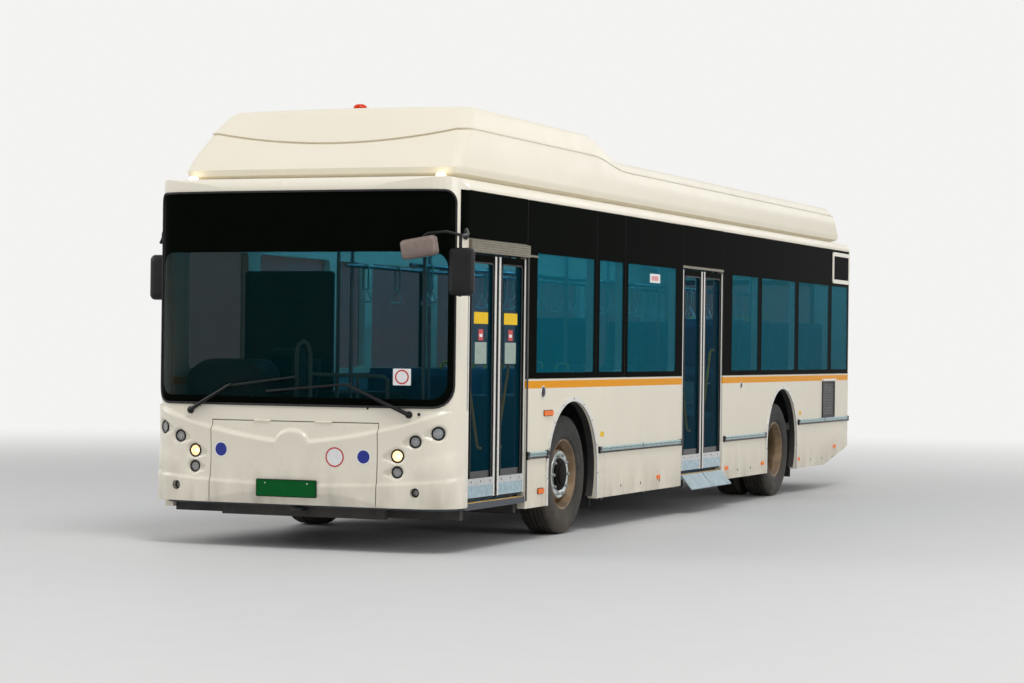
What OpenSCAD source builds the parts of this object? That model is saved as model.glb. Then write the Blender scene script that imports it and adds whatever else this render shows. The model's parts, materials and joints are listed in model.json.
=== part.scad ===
// Twelve metre low-entry airport passenger bus with a roof battery fairing.
// Frame: +X forward, +Y to the bus's left (door side), +Z up, origin on the road under the middle.

/* [Overall] */
// Length of the body over both bumpers
body_len = 12000; // [11400:50:12400]
// Width over the side walls
body_w = 2600; // [2500:10:2640]
// Height of the bare roof above the road
roof_z = 2850; // [2830:5:2900]
// How far the kerb mirror reaches ahead of the nose
mirror_reach = 100; // [90:5:140]

/* [Shell] */
// Thickness of the side walls
wall_t = 70; // [60:1:80]
// Thickness of the nose and tail panels
mask_t = 60; // [50:1:66]
// Thickness of the roof panel
roof_t = 60; // [50:1:70]
// Lower edge of the side skirts
skirt_z = 270; // [250:5:290]
// Lower edge of the nose panel
bumper_z = 340; // [325:5:360]
// Lower edge of the tail panel
tail_skirt_z = 460; // [440:5:500]
// Lower edge of the window band
waist_z = 1310; // [1290:5:1330]
// Upper edge of the window band
cant_z = 2760; // [2740:5:2765]
// Top of the clear part of the side windows
tint_z = 2333; // [2250:5:2400]
// Thickness of the window panes
glass_t = 8; // [5:1:10]
// Seam between two window panes
seam = 10; // [6:1:16]
// Radius of the nose in plan
nose_r = 9000; // [7000:100:12000]
// Radius of the front corners in plan
corner_r = 280; // [260:5:300]
// Depth of the nose panel behind its front
nose_depth = 340; // [335:1:360]
// Radius of the edge between roof and sides
cant_r = 90; // [75:1:90]
// How far the shoulder below the crest stands out of the nose
shoulder_t = 12; // [8:1:14]
// How far the bumper ledge stands out of the nose
ledge_t = 20; // [16:1:26]

/* [Wheels] */
// Nose to front axle
front_overhang = 2630; // [2580:10:2680]
// Tail to rear axle
rear_overhang = 2915; // [2800:10:3000]
// Outer diameter of the tyres
tyre_d = 1000; // [960:5:1010]
// Width of a tyre
tyre_w = 285; // [270:1:290]
// Seat diameter of the rims
rim_d = 572; // [560:1:580]
// Distance of the outer tyre wall inside the body side
wheel_inset = 55; // [50:1:70]
// Centre distance of the twin rear tyres
twin_pitch = 322; // [310:1:335]
// Radius of the wheel arches
arch_r = 585; // [575:1:590]
// Width of the bright arch trims
arch_trim_w = 40; // [25:1:45]
// Kingpin to the tyre's inner wall
kingpin_inset = 50; // [45:1:60]
// Steering angle each way, in degrees
steer_deg = 38; // [30:1:40]
// Running clearance of shafts in their hubs
hub_play = 0.1; // [0.05:0.01:0.1]

/* [Doors] */
// Width of the front doorway
front_door_w = 1220; // [1190:5:1240]
// Middle of the mid doorway behind the middle of the wheelbase
mid_door_offset = 383; // [300:1:460]
// Width of the mid doorway
mid_door_w = 1314; // [1280:2:1340]
// Top of the front doorway
front_door_top = 2290; // [2250:5:2300]
// Top of the mid doorway
mid_door_top = 2350; // [2300:5:2360]
// Thickness of a door leaf
leaf_t = 40; // [36:1:42]
// Distance of a leaf inside the body side
leaf_inset = 10; // [8:1:14]
// Gap between a leaf and its jamb
jamb_gap = 12; // [10:1:16]
// Gap between two leaves
meet_gap = 24; // [20:1:30]
// Width of a leaf's stiles
stile_w = 46; // [40:1:60]
// Radius of the turning door posts
post_r = 18; // [14:1:20]
// Radius of a leaf's hinge pin
pin_r = 9; // [7:0.5:10]
// Clearance at pins and seats
play = 0.3; // [0.2:0.05:0.4]

/* [Inside] */
// Top of the low floor
floor_z = 370; // [360:2:380]
// Top of the raised rear floor
rear_floor_z = 900; // [880:5:960]
// Thickness of the floors
deck_t = 50; // [40:1:60]
// Width of one passenger seat
seat_w = 430; // [400:5:450]
// Radius of the grab rails
rail_r = 17; // [14:1:20]

/* [Roof fairing] */
// Height of the front hump
hump_z = 3440; // [3380:5:3480]
// Height of the long low part
low_z = 3270; // [3220:5:3300]
// Half of the fairing's width at its lip
fairing_y = 1170; // [1120:5:1200]
// Height of the flashing lamp on the hump
beacon_h = 90; // [70:5:110]

/* [Hidden] */

// Places that follow from the sizes above
side_y = body_w / 2;
inner_y = side_y - wall_t;
lamp_t = 10;
nose_x = (body_len + lamp_t - mirror_reach) / 2;
tail_x = nose_x - body_len;
wall_front = nose_x - nose_depth;
wall_rear = tail_x + 70;
front_axle_x = nose_x - front_overhang;
rear_axle_x = tail_x + rear_overhang;
axle_z = tyre_d / 2;
arch_foot = 535;
rear_arch_lift = 40;
// doorways: front edge, width, top
FRONT_DOOR = [wall_front, front_door_w, front_door_top];
MID_DOOR = [(front_axle_x + rear_axle_x) / 2 - mid_door_offset + mid_door_w / 2, mid_door_w, mid_door_top];
front_door_rear = FRONT_DOOR[0] - FRONT_DOOR[1];
mid_door_rear = MID_DOOR[0] - MID_DOOR[1];
leaf_y = side_y - leaf_inset;
leaf_foot = floor_z + 36;
arm_t = 16;
leaf_head = 38;
deck_front = nose_x - 130;
step_x = mid_door_rear - 202;

// Points along an arc, from angle a0 to a1
function arc(cx, cy, r, a0, a1, n)
    = [for (i = [0:n]) let (a = a0 + (a1 - a0) * i / n) [cx + r * cos(a), cy + r * sin(a)]];
// The nose outline in plan, drawn in by an inset
nose_cx = nose_x - nose_r;
corner_x = nose_cx + sqrt(pow(nose_r - corner_r, 2) - pow(side_y - corner_r, 2));
corner_deg = atan2(side_y - corner_r, corner_x - nose_cx);
function nose_half(inset) = concat(
    arc(nose_cx, 0, nose_r - inset, 0, corner_deg, 5),
    arc(corner_x, side_y - corner_r, corner_r - inset, corner_deg + 12, 90, 7));
function mirrored(points) = [for (i = [len(points) - 1:-1:0]) [points[i][0], -points[i][1]]];
function nose_surface_x(y) = y <= (side_y - corner_r) * nose_r / (nose_r - corner_r)
    ? nose_cx + sqrt(nose_r * nose_r - y * y)
    : corner_x + sqrt(corner_r * corner_r - pow(y - side_y + corner_r, 2));
function nose_normal_deg(y) = y <= (side_y - corner_r) * nose_r / (nose_r - corner_r)
    ? asin(y / nose_r) : asin((y - side_y + corner_r) / corner_r);

module nose_plan(inset, back) {
    half = nose_half(inset);
    polygon(concat([[back, side_y - inset]], mirrored(mirrored([for (i = [len(half) - 1:-1:0]) half[i]])),
        [for (i = [1:len(half) - 1]) [half[i][0], -half[i][1]]], [[back, inset - side_y]]));
}
// A plate standing in the XZ plane, from y0 to y0 + t, drawn by its (x, z) outline
module plate_y(y0, t) {
    translate([0, y0 + t, 0]) rotate([90, 0, 0]) linear_extrude(t) children();
}
// A bar along X from x0 to x1, drawn by its (y, z) outline
module bar_x(x0, x1) {
    translate([x0, 0, 0]) rotate([90, 0, 90]) linear_extrude(x1 - x0) children();
}
module box(x, y, z) {
    translate([x[0], y[0], z[0]]) cube([x[1] - x[0], y[1] - y[0], z[1] - z[0]]);
}
module both_sides() {
    children();
    mirror([0, 1, 0]) children();
}
module rounded(w, h, r) {
    hull_pts = concat(arc(w / 2 - r, h / 2 - r, r, 0, 90, 6), arc(r - w / 2, h / 2 - r, r, 90, 180, 6),
        arc(r - w / 2, r - h / 2, r, 180, 270, 6), arc(w / 2 - r, r - h / 2, r, 270, 360, 6));
    polygon(hull_pts);
}

// Side walls
// seams between the panes, as shares of the bay between the doors and of the bay behind the mid door
front_seams = [for (share = [0.405, 0.59]) front_door_rear - share * (front_door_rear - MID_DOOR[0])];
rear_seams = [for (share = [0.257, 0.545, 0.828]) mid_door_rear - share * (mid_door_rear - wall_rear)];
// clear windows between those seams: front edge and rear edge
pane_margin = 76;
door_margin = 220;
mid_door_margin = 300;
function clear_edges(stops, first, last) = [for (i = [0:len(stops) - 2])
    [stops[i] - (i == 0 ? first : pane_margin), stops[i + 1] + (i == len(stops) - 2 ? last : pane_margin)]];
front_pane_edges = clear_edges(concat([front_door_rear], front_seams, [MID_DOOR[0]]), door_margin,
    door_margin);
rear_pane_edges = clear_edges(concat([mid_door_rear], rear_seams, [wall_rear]), mid_door_margin,
    pane_margin);
window_foot = waist_z + 55;

module wall_outline() {
    rise = 1120;
    polygon([[wall_front, skirt_z], [wall_front, cant_z], [wall_rear, cant_z],
        [wall_rear, tail_skirt_z - 10],
        [tail_x + rise, skirt_z]]);
}
module arch_cut(x, lift, r) {
    translate([x, arch_foot + lift]) circle(r, $fn = 96);
    translate([x - r, 0]) square([2 * r, arch_foot + lift]);
}
// a doorway leaves the wall open to its top: the door's header closes it above
module doorway_cut(door) {
    translate([door[0] - door[1], 0]) square([door[1] + 1, cant_z + 1]);
}
module windows(edges) {
    for (e = edges) translate([(e[0] + e[1]) / 2, (window_foot + tint_z) / 2])
        rounded(e[0] - e[1], tint_z - window_foot, 40);
}
driver_seam = nose_x - 1620;
driver_window = [wall_front - 220, driver_seam + 60];
right_edges = concat([driver_window], front_pane_edges, [[MID_DOOR[0] + 54, mid_door_rear - 150]],
    rear_pane_edges);
// vertical seams of the skirt panels, and the step above the lip at their foot
SEAMS = [front_axle_x - 800, (front_axle_x - 640 + MID_DOOR[0]) / 2, mid_door_rear - 700, rear_axle_x - 900];
lip_h = 62;
module skirt_seams(y) {
    for (x = SEAMS) box([x - 1.5, x + 1.5], [y, y + 4], [skirt_z - 1, waist_z - 80]);
    for (x = [[rear_axle_x + 660, mid_door_rear - 20], [MID_DOOR[0] + 20, front_axle_x - 660]])
        box(x, [y, y + 4], [skirt_z + lip_h, skirt_z + lip_h + 3]);
}
module band_cut(y) {
    box([wall_rear - 1, wall_front + 1], [y, y + glass_t + 1], [waist_z, cant_z + 1]);
}
module left_wall() {
    color("white") difference() {
        plate_y(inner_y, wall_t) difference() {
            wall_outline();
            windows(concat(front_pane_edges, rear_pane_edges));
            arch_cut(front_axle_x, 0, arch_r);
            arch_cut(rear_axle_x, rear_arch_lift, arch_r);
            doorway_cut(FRONT_DOOR);
            doorway_cut(MID_DOOR);
        }
        band_cut(side_y - glass_t);
        skirt_seams(side_y - 2);
    }
}
module right_wall() {
    color("white") difference() {
        plate_y(-side_y, wall_t) difference() {
            wall_outline();
            windows(right_edges);
            arch_cut(front_axle_x, 0, arch_r);
            arch_cut(rear_axle_x, rear_arch_lift, arch_r);
        }
        band_cut(-side_y - 1);
        skirt_seams(-side_y - 2);
    }
}

// Window panes, flush with the skin, with a seam between them
function pane_spans(stops) = [for (i = [0:len(stops) - 2]) [stops[i + 1] + seam / 2, stops[i] - seam / 2]];
left_stops = concat([wall_front, front_door_rear], front_seams, [MID_DOOR[0]]);
rear_stops = concat([mid_door_rear], rear_seams, [wall_rear]);
right_stops = concat([wall_front, driver_seam], front_seams, [MID_DOOR[0] + 130, mid_door_rear - 226],
    rear_seams, [wall_rear]);
module pane(span, y, foot) {
    box(span, [y, y + glass_t], [foot + seam / 2, cant_z - seam / 2]);
}
module window_glass() {
    color("teal", 0.5) {
        y = side_y - glass_t;
        spans = pane_spans(left_stops);
        pane(spans[0], y, front_door_top + 100);
        for (i = [1:len(spans) - 1]) pane(spans[i], y, waist_z);
        pane(pane_spans([MID_DOOR[0], mid_door_rear])[0], y, mid_door_top + 20);
        for (s = pane_spans(rear_stops)) pane(s, y, waist_z);
        for (s = pane_spans(right_stops)) pane(s, -side_y, waist_z);
        rear_window_glass();
    }
    color("white") both_sides() high_frame();
}

// Nose panel with windscreen opening, lamp holes and hatch opening
screen_w = 2510;
screen_foot = 1105;
screen_head = 2740;
// strip of the nose beside the hatch, on each side
hatch_side = 594;
hatch_w = body_w - 2 * hatch_side;
hatch_top = 975;
hatch_gap = 8;
hatch_t = 36;
// lamps on each side of the nose: distance from the body side, z, radius
LAMPS = [for (l = [[130, 910, 50], [295, 845, 46], [435, 735, 50], [435, 612, 44], [285, 462, 34]])
    [side_y - l[0], l[1], l[2]]];
module nose_profile() {
    // side view: tucked bumper foot, upright face, leaning screen, rounded brow
    polygon(concat([[wall_front, bumper_z], [nose_x - 36, bumper_z], [nose_x - 8, bumper_z + 90],
        [nose_x, 560],
        [nose_x, screen_foot], [nose_x - 24, screen_head]],
        arc(nose_x - 24 - cant_r, roof_z - cant_r, cant_r, 0, 90, 6), [[wall_front, roof_z]]));
}
module roof_section(inset) {
    polygon(concat([[inset - side_y, 0], [side_y - inset, 0]],
        arc(side_y - cant_r, roof_z - cant_r, cant_r - inset, 0, 90, 6),
        arc(cant_r - side_y, roof_z - cant_r, cant_r - inset, 90, 180, 6)));
}
// Front view of the relief: everything below the crest, which rises to the corners and over a small hump
crest_foot = 812;
crest_steps = [for (i = [0:6]) 160 + (side_y - 160) * i / 6];
function crest_z(y) = crest_foot + 0.06 * y + 0.00012 * y * y;
hump_w = 142;
hump_h = 98;
module crest_front() {
    right = [for (y = crest_steps) [y, crest_z(y)]];
    polygon(concat([[-side_y, 0], [side_y, 0]], [for (i = [len(right) - 1:-1:0]) right[i]],
        [for (i = [0:8]) let (a = 10 + 20 * i) [hump_w * cos(a), crest_foot + hump_h * sin(a)]],
        [for (q = right) [-q[0], q[1]]]));
}
// Front view of the bumper ledge, whose upper edge rises a little to the corners
ledge_z = 492;
ledge_rise = 45;
module ledge_front() {
    polygon([[-side_y, 0], [side_y, 0], [side_y, ledge_z + ledge_rise],
        [side_y / 2, ledge_z + ledge_rise / 4], [0, ledge_z],
        [-side_y / 2, ledge_z + ledge_rise / 4], [-side_y, ledge_z + ledge_rise]]);
}
// An almond pocket round a lamp, drawn out towards the middle
module pocket_front(lamp) {
    polygon(concat(arc(lamp[0], lamp[1], lamp[2] * 1.36, -125, 125, 10),
        [[lamp[0] - lamp[2] * 2.3, lamp[1] - lamp[2] * 0.1],
            [lamp[0] - lamp[2] * 2.3, lamp[1] - lamp[2] * 0.5]]));
}
// The nose moved forward by t, so that its sides stay flush
module forward_nose(t) {
    translate([t, 0, 0]) intersection() {
        linear_extrude(screen_foot - 1) nose_plan(0, wall_front);
        plate_y(-side_y, body_w) nose_profile();
    }
}
module nose_relief() {
    intersection() {
        forward_nose(shoulder_t);
        bar_x(nose_x - nose_depth + 60, nose_x + shoulder_t) difference() {
            crest_front();
            both_sides_2d() for (i = [0:3]) pocket_front(LAMPS[i]);
        }
    }
    intersection() {
        forward_nose(ledge_t);
        bar_x(nose_x - nose_depth + 60, nose_x + ledge_t) ledge_front();
    }
}
module both_sides_2d() {
    children();
    mirror([1, 0]) children();
}
module plain_nose() {
    intersection() {
        linear_extrude(roof_z) nose_plan(0, wall_front);
        plate_y(-side_y, body_w) nose_profile();
        bar_x(wall_front, nose_x) roof_section(0);
    }
}
module nose_solid() {
    plain_nose();
    nose_relief();
}
module screen_opening() {
    bar_x(nose_x - nose_depth + 60, nose_x + 1) translate([0, (screen_foot + screen_head) / 2])
        rounded(screen_w, screen_head - screen_foot, 170);
}
module hatch_zone(grow) {
    box([nose_x - 200, nose_x + ledge_t + 1], [-hatch_w / 2 - grow, hatch_w / 2 + grow],
        [0, hatch_top + grow]);
}
module lamp_axis(lamp) {
    translate([nose_surface_x(lamp[0]), lamp[0], lamp[1]]) rotate([0, 0, nose_normal_deg(lamp[0])])
        rotate([0, 90, 0])
        children();
}
module nose_shell(t) {
    difference() {
        nose_solid();
        linear_extrude(roof_z - mask_t) nose_plan(t, wall_front - 1);
    }
}
module nose_panel() {
    color("white") difference() {
        nose_shell(mask_t);
        screen_opening();
        // the hatch lies in a rebate of the panel
        difference() {
            hatch_zone(hatch_gap);
            linear_extrude(roof_z) nose_plan(hatch_t + play, wall_front - 1);
        }
        hatch_zone(-40);
        both_sides() for (lamp = LAMPS) lamp_axis(lamp) translate([0, 0, -120])
            cylinder(r = lamp[2], h = 200, $fn = 48);
        both_sides() front_hinge() hinge_room(-hinge_w / 2 - 3, hinge_w / 2 + 3);
    }
    color("white") both_sides() front_hinge() hinge_eyes();
}
module windscreen() {
    color("teal", 0.5) intersection() {
        difference() {
            plain_nose();
            translate([-14, 0, 0]) plain_nose();
        }
        screen_opening();
    }
}
// Each lamp is a bowl in a rim, with its bulb in the middle
lamp_back = 66;
module headlamps() {
    color("silver") both_sides() for (lamp = LAMPS) lamp_axis(lamp) {
        translate([0, 0, -lamp_back]) difference() {
            cylinder(r = lamp[2] - play, h = lamp_back + 3, $fn = 48);
            translate([0, 0, lamp_back - 36])
                cylinder(r1 = lamp[2] * 0.3, r2 = lamp[2] - 8, h = 40, $fn = 48);
        }
        translate([0, 0, -40]) cylinder(r = 9, h = 22, $fn = 24);
    }
}
module front_hatch() {
    color("white") {
        difference() {
            intersection() {
                nose_shell(hatch_t);
                hatch_zone(0);
            }
            both_sides() front_hinge() for (k = [0, 1]) mirror([0, k, 0])
                hinge_room(hinge_w / 2 - 2, hinge_w * 1.5);
        }
        both_sides() front_hinge() hinge_pin();
    }
}

// Hatch hinges: a middle eye with its pin on the hatch turns between two eyes of the panel
hinge_r = 8;
hinge_w = 60;
hinge_pin_r = 4;
hinge_web = 22;
module hinge_eye(y0, y1) {
    translate([0, y0, 0]) rotate([-90, 0, 0]) cylinder(r = hinge_r, h = y1 - y0, $fn = 32);
}
module hinge_room(y0, y1) {
    translate([0, y0, 0]) rotate([-90, 0, 0]) cylinder(r = hinge_r + 4, h = y1 - y0, $fn = 32);
}
module hinge_pin() {
    hinge_eye(-hinge_w / 2, hinge_w / 2);
    translate([-hinge_web, -hinge_w / 2, -hinge_web]) cube([hinge_web - 2, hinge_w, hinge_web]);
    translate([0, -hinge_w, 0]) rotate([-90, 0, 0]) cylinder(r = hinge_pin_r, h = 2 * hinge_w, $fn = 32);
}
module hinge_eyes() {
    for (k = [0, 1]) mirror([0, k, 0]) difference() {
        union() {
            hinge_eye(hinge_w / 2 + 0.5, hinge_w + 10);
            translate([-hinge_web, hinge_w / 2 + 0.5, 0])
                cube([hinge_web - 2, hinge_w / 2 + 9.5, hinge_web]);
        }
        translate([0, hinge_w / 2 - 1, 0]) rotate([-90, 0, 0])
            cylinder(r = hinge_pin_r + hub_play, h = hinge_w, $fn = 32);
    }
}
module front_hinge() {
    translate([nose_x, 260, hatch_top + hatch_gap / 2]) children();
}
module rear_hinge() {
    translate([tail_x, rear_hatch_w / 2 - 300, rear_hatch_z[1] + hatch_gap / 2]) mirror([1, 0, 0])
        children();
}

// Tail panel
tail_t = 70;
tail_corner = 60;
rear_hatch_w = 1900;
rear_hatch_z = [640, 1480];
rear_window = [1760, 1700, 2420];
module tail_plan() {
    polygon(concat([[wall_rear, side_y]],
        arc(tail_x + tail_corner, side_y - tail_corner, tail_corner, 90, 180, 6),
        arc(tail_x + tail_corner, tail_corner - side_y, tail_corner, 180, 270, 6), [[wall_rear, -side_y]]));
}
module tail_panel() {
    color("white") both_sides() rear_hinge() hinge_eyes();
    color("white") difference() {
        intersection() {
            translate([0, 0, tail_skirt_z]) linear_extrude(roof_z - tail_skirt_z) tail_plan();
            bar_x(tail_x, wall_rear) roof_section(0);
        }
        box([tail_x - 1, wall_rear + 1], [-rear_window[0] / 2, rear_window[0] / 2],
            [rear_window[1], rear_window[2]]);
        box([tail_x - 1, tail_x + 45], [-rear_hatch_w / 2 - hatch_gap, rear_hatch_w / 2 + hatch_gap],
            [rear_hatch_z[0] - hatch_gap, rear_hatch_z[1] + hatch_gap]);
        box([tail_x - 1, wall_rear + 1], [-rear_hatch_w / 2 + 60, rear_hatch_w / 2 - 60],
            [rear_hatch_z[0] + 60, rear_hatch_z[1] - 60]);
        both_sides() rear_hinge() hinge_room(-hinge_w / 2 - 3, hinge_w / 2 + 3);
    }
}
module rear_window_glass() {
    box([tail_x, tail_x + glass_t], [-rear_window[0] / 2, rear_window[0] / 2],
        [rear_window[1], rear_window[2]]);
}
module rear_hatch() {
    color("white") both_sides() rear_hinge() hinge_pin();
    color("white") difference() {
        box([tail_x, tail_x + 45 - play], [-rear_hatch_w / 2, rear_hatch_w / 2], rear_hatch_z);
        both_sides() rear_hinge() for (k = [0, 1]) mirror([0, k, 0])
            hinge_room(hinge_w / 2 - 2, hinge_w * 1.5);
        // louvres
        for (i = [0:7]) translate([tail_x, 0, rear_hatch_z[0] + 180 + 60 * i]) rotate([0, 45, 0])
            cube([18, rear_hatch_w - 500, 18], center = true);
    }
}

// Roof
module roof_panel() {
    color("white") difference() {
        bar_x(wall_rear, wall_front) difference() {
            roof_section(0);
            translate([-side_y, 0]) square([body_w, cant_z]);
            roof_section(roof_t);
        }
        box([wall_rear - 1, wall_front + 1], [-inner_y, inner_y], [cant_z - 1, roof_z - roof_t - 30]);
    }
}

// Roof fairing, lofted through closed rings: each ring is a rounded rectangle in plan whose height follows x
fairing_nose = nose_x - 335;
fairing_tail = tail_x + 90;
hump_end = nose_x - 3480;
hump_foot = nose_x - 4400;
function ease(t) = let (u = max(0, min(1, t))) u * u * (3 - 2 * u);
function hump(x) = ease((x - hump_foot) / (hump_end - hump_foot));
function blend(x, low, high) = low + (high - low) * hump(x);
// rings: setback at nose, half width, corner radius, low height, hump height, dip of the nose crease
RINGS = [
    [60, fairing_y - 60, 200, roof_z, roof_z, 0],
    [50, fairing_y - 50, 210, roof_z + 24, roof_z + 24, 0],
    [0, fairing_y, 260, roof_z + 44, roof_z + 44, 0],
    [-6, fairing_y + 8, 260, roof_z + 90, roof_z + 90, 0],
    [130, fairing_y - 10, 240, low_z - 190, hump_z - 360, 40],
    [330, fairing_y - 45, 220, low_z - 95, hump_z - 180, 95],
    [350, fairing_y - 62, 220, low_z - 82, hump_z - 160, 90],
    [590, fairing_y - 130, 200, low_z - 8, hump_z - 14, 0],
    [680, fairing_y - 220, 180, low_z, hump_z, 0]];
side_steps = [for (i = [0:9]) i / 9];
bow = 45;
function ring_half(r) = let (
        x1 = fairing_nose - r[0],
        x0 = fairing_tail + min(r[0], 60) * 0.8,
        w = r[1], c = r[2], s = hump_foot - 250, e = hump_end + 250, k = bow * pow((w - c) / w, 2))
    concat([for (t = [0, 0.3, 0.55]) [x1 - bow * pow(t, 2), w * t]],
        arc(x1 - k - c, w - c, c, 0, 90, 6),
        [for (i = side_steps) [e + (s - e) * i, w]],
        [[(s + x0) / 2, w]],
        arc(x0 + 120, w - 120, 120, 90, 180, 3), [[x0 - 15, 0]]);
function ring_points(r) = let (half = ring_half(r), n = len(half)) concat(
    [for (p = half) [p[0], p[1], ring_z(r, p)]],
    [for (i = [n - 2:-1:1]) [half[i][0], -half[i][1], ring_z(r, half[i])]]);
function ring_z(r, p) = blend(p[0], r[3], r[4])
    - (p[0] > hump_end ? r[5] * max(0, 1 - pow(p[1] / (r[1] - r[2]), 2)) : 0);
module roof_fairing() {
    rings = [for (r = RINGS) ring_points(r)];
    n = len(rings[0]);
    half = (n + 2) / 2;
    points = [for (r = rings) each r];
    sides = [for (k = [0:len(rings) - 2]) for (i = [0:n - 1]) let (j = (i + 1) % n)
        each [[k * n + i, (k + 1) * n + i, (k + 1) * n + j], [k * n + i, (k + 1) * n + j, k * n + j]]];
    t = (len(rings) - 1) * n;
    // strips across the top and bottom, from the left half to the right half
    top = [for (i = [0:half - 2]) let (a = i, b = i + 1, c = (n - i) % n, d = n - i - 1)
        each (i == 0 ? [[t + a, t + d, t + b]] : i == half - 2 ? [[t + a, t + c, t + b]]
            : [[t + a, t + c, t + d], [t + a, t + d, t + b]])];
    bottom = [for (f = top) [f[0] - t, f[2] - t, f[1] - t]];
    color("white") polyhedron(points, concat(sides, top, bottom), convexity = 6);
}
module beacon() {
    color("orangered") translate([nose_x - 1250, -60, hump_z]) {
        cylinder(r = 70, h = 20, $fn = 32);
        translate([0, 0, 20]) cylinder(r = 58, h = beacon_h - 40, $fn = 32);
        translate([0, 0, beacon_h - 20]) cylinder(r1 = 58, r2 = 40, h = 20, $fn = 32);
    }
}

// Floor
box_t = 30;
front_box = [front_axle_x - 640, front_axle_x + 640];
rear_box = [rear_axle_x - 620, rear_axle_x + 620];
front_box_y = 560;
rear_box_y = 600;
front_box_top = arch_foot + arch_r + 15;
rear_box_top = front_box_top + rear_arch_lift;
step_depth = 300;
step_half = 400;
module deck_plan() {
    translate([step_x, -inner_y]) square([wall_front + 1 - step_x, 2 * inner_y]);
    intersection() {
        nose_plan(mask_t, wall_front);
        translate([wall_front, -side_y]) square([deck_front - wall_front, body_w]);
    }
    for (d = [FRONT_DOOR, MID_DOOR]) translate([d[0] - d[1], inner_y - 1]) square([d[1], wall_t - 4 + 1]);
}
module housing_plan(x, y) {
    both_sides() translate([x[0] - box_t, y - box_t]) square([x[1] - x[0] + 2 * box_t, side_y - y]);
}
module floor_deck() {
    color("dimgray") {
        translate([0, 0, floor_z - deck_t]) linear_extrude(deck_t) difference() {
            deck_plan();
            housing_plan(front_box, front_box_y);
        }
        translate([0, 0, rear_floor_z - deck_t]) linear_extrude(deck_t) difference() {
            translate([wall_rear, -inner_y]) square([step_x - deck_t - wall_rear, 2 * inner_y]);
            housing_plan(rear_box, rear_box_y);
        }
    }
}
// The riser and two steps up to the raised floor
module floor_steps() {
    rise = (rear_floor_z - floor_z) / 3;
    color("dimgray") {
        box([step_x - deck_t, step_x], [-inner_y, inner_y], [floor_z - deck_t, rear_floor_z]);
        for (i = [0:1]) box([step_x - 1, step_x + step_depth * (2 - i)], [-step_half, step_half],
            [floor_z, floor_z + rise * (i + 1)]);
    }
}
// A box over each wheel, open below and on the outer side
module wheel_housing(x, y, foot, top) {
    difference() {
        box([x[0] - box_t, x[1] + box_t], [y - box_t, inner_y], [foot, top + box_t]);
        box(x, [y, inner_y + 1], [foot - 1, top]);
    }
}
module wheel_housings() {
    color("dimgray") both_sides() {
        wheel_housing(front_box, front_box_y, floor_z - deck_t, front_box_top);
        wheel_housing(rear_box, rear_box_y, rear_floor_z - deck_t, rear_box_top);
    }
}

// Underframe: two rails that kick up over the rear axle; cross members with tow lugs and jacking pads
rail_y = 400;
rail_w = 60;
rail_h = 80;
frame_z = floor_z - deck_t - rail_h;
rear_rail_z = rear_floor_z - deck_t - rail_h;
// cross members as shares of the low frame and of the raised frame
low_frame = [nose_x - 420, step_x + 1260];
cross_x = [for (share = [0, 0.2, 0.58, 0.79, 1]) low_frame[0] + share * (low_frame[1] - low_frame[0])];
rear_cross_x = [tail_x + 200, rear_axle_x - 1915, rear_axle_x - 1015, rear_axle_x + 1185];
tow_r = 24;
tow_inset = 90;
rear_tow_inset = 72;
pad_y = 700;
tail_beam = [tail_x + 130, tail_x + 190];
module tow_lug(x, z, dir) {
    difference() {
        union() {
            translate([x, 0, z]) cylinder(r = 55, h = 26, $fn = 48);
            box(dir > 0 ? [x - 160, x] : [x, x + 160], [-44, 44], [z, z + 26]);
        }
        translate([x, 0, z - 1]) cylinder(r = tow_r, h = 28, $fn = 48);
    }
}
module underframe() {
    color("darkslategray") both_sides() plate_y(rail_y - rail_w / 2, rail_w) polygon([
        [nose_x - 240, frame_z], [nose_x - 240, frame_z + rail_h], [step_x - 55, frame_z + rail_h],
        [step_x - 255, rear_rail_z + rail_h], [wall_rear, rear_rail_z + rail_h], [wall_rear, rear_rail_z],
        [step_x - 335, rear_rail_z], [step_x - 120, frame_z]]);
}
// A piece between the rails and an outrigger on each side of them
module cross_member(x, z) {
    box([x - 30, x + 30], [rail_w / 2 - rail_y, rail_y - rail_w / 2], [z, z + rail_h]);
    both_sides() box([x - 30, x + 30], [rail_y + rail_w / 2, inner_y], [z, z + rail_h]);
}
module cross_members() {
    color("darkslategray") {
        for (x = cross_x) cross_member(x, frame_z);
        for (x = rear_cross_x) cross_member(x, rear_rail_z);
        both_sides() for (x = [cross_x[1], cross_x[4]]) translate([x, pad_y, frame_z - 15])
            cylinder(r = 60, h = 16, $fn = 48);
        box([nose_x - 240, nose_x - 180], [-700, 700], [frame_z, frame_z + rail_h]);
        tow_lug(nose_x - tow_inset, frame_z + 50, 1);
        // tail beam, hung from the rails
        box(tail_beam, [-rail_y, rail_y], [tail_skirt_z - 60, tail_skirt_z + 40]);
        both_sides() box(tail_beam, [rail_y - 30, rail_y + 30], [tail_skirt_z - 60, rear_rail_z]);
        tow_lug(tail_x + rear_tow_inset, tail_skirt_z - 40, -1);
    }
}
module drive_motor() {
    color("gray") box([rear_axle_x - 1500, rear_axle_x - 800], [-300, 300],
        [rear_rail_z - 420, rear_rail_z]);
}

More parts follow.
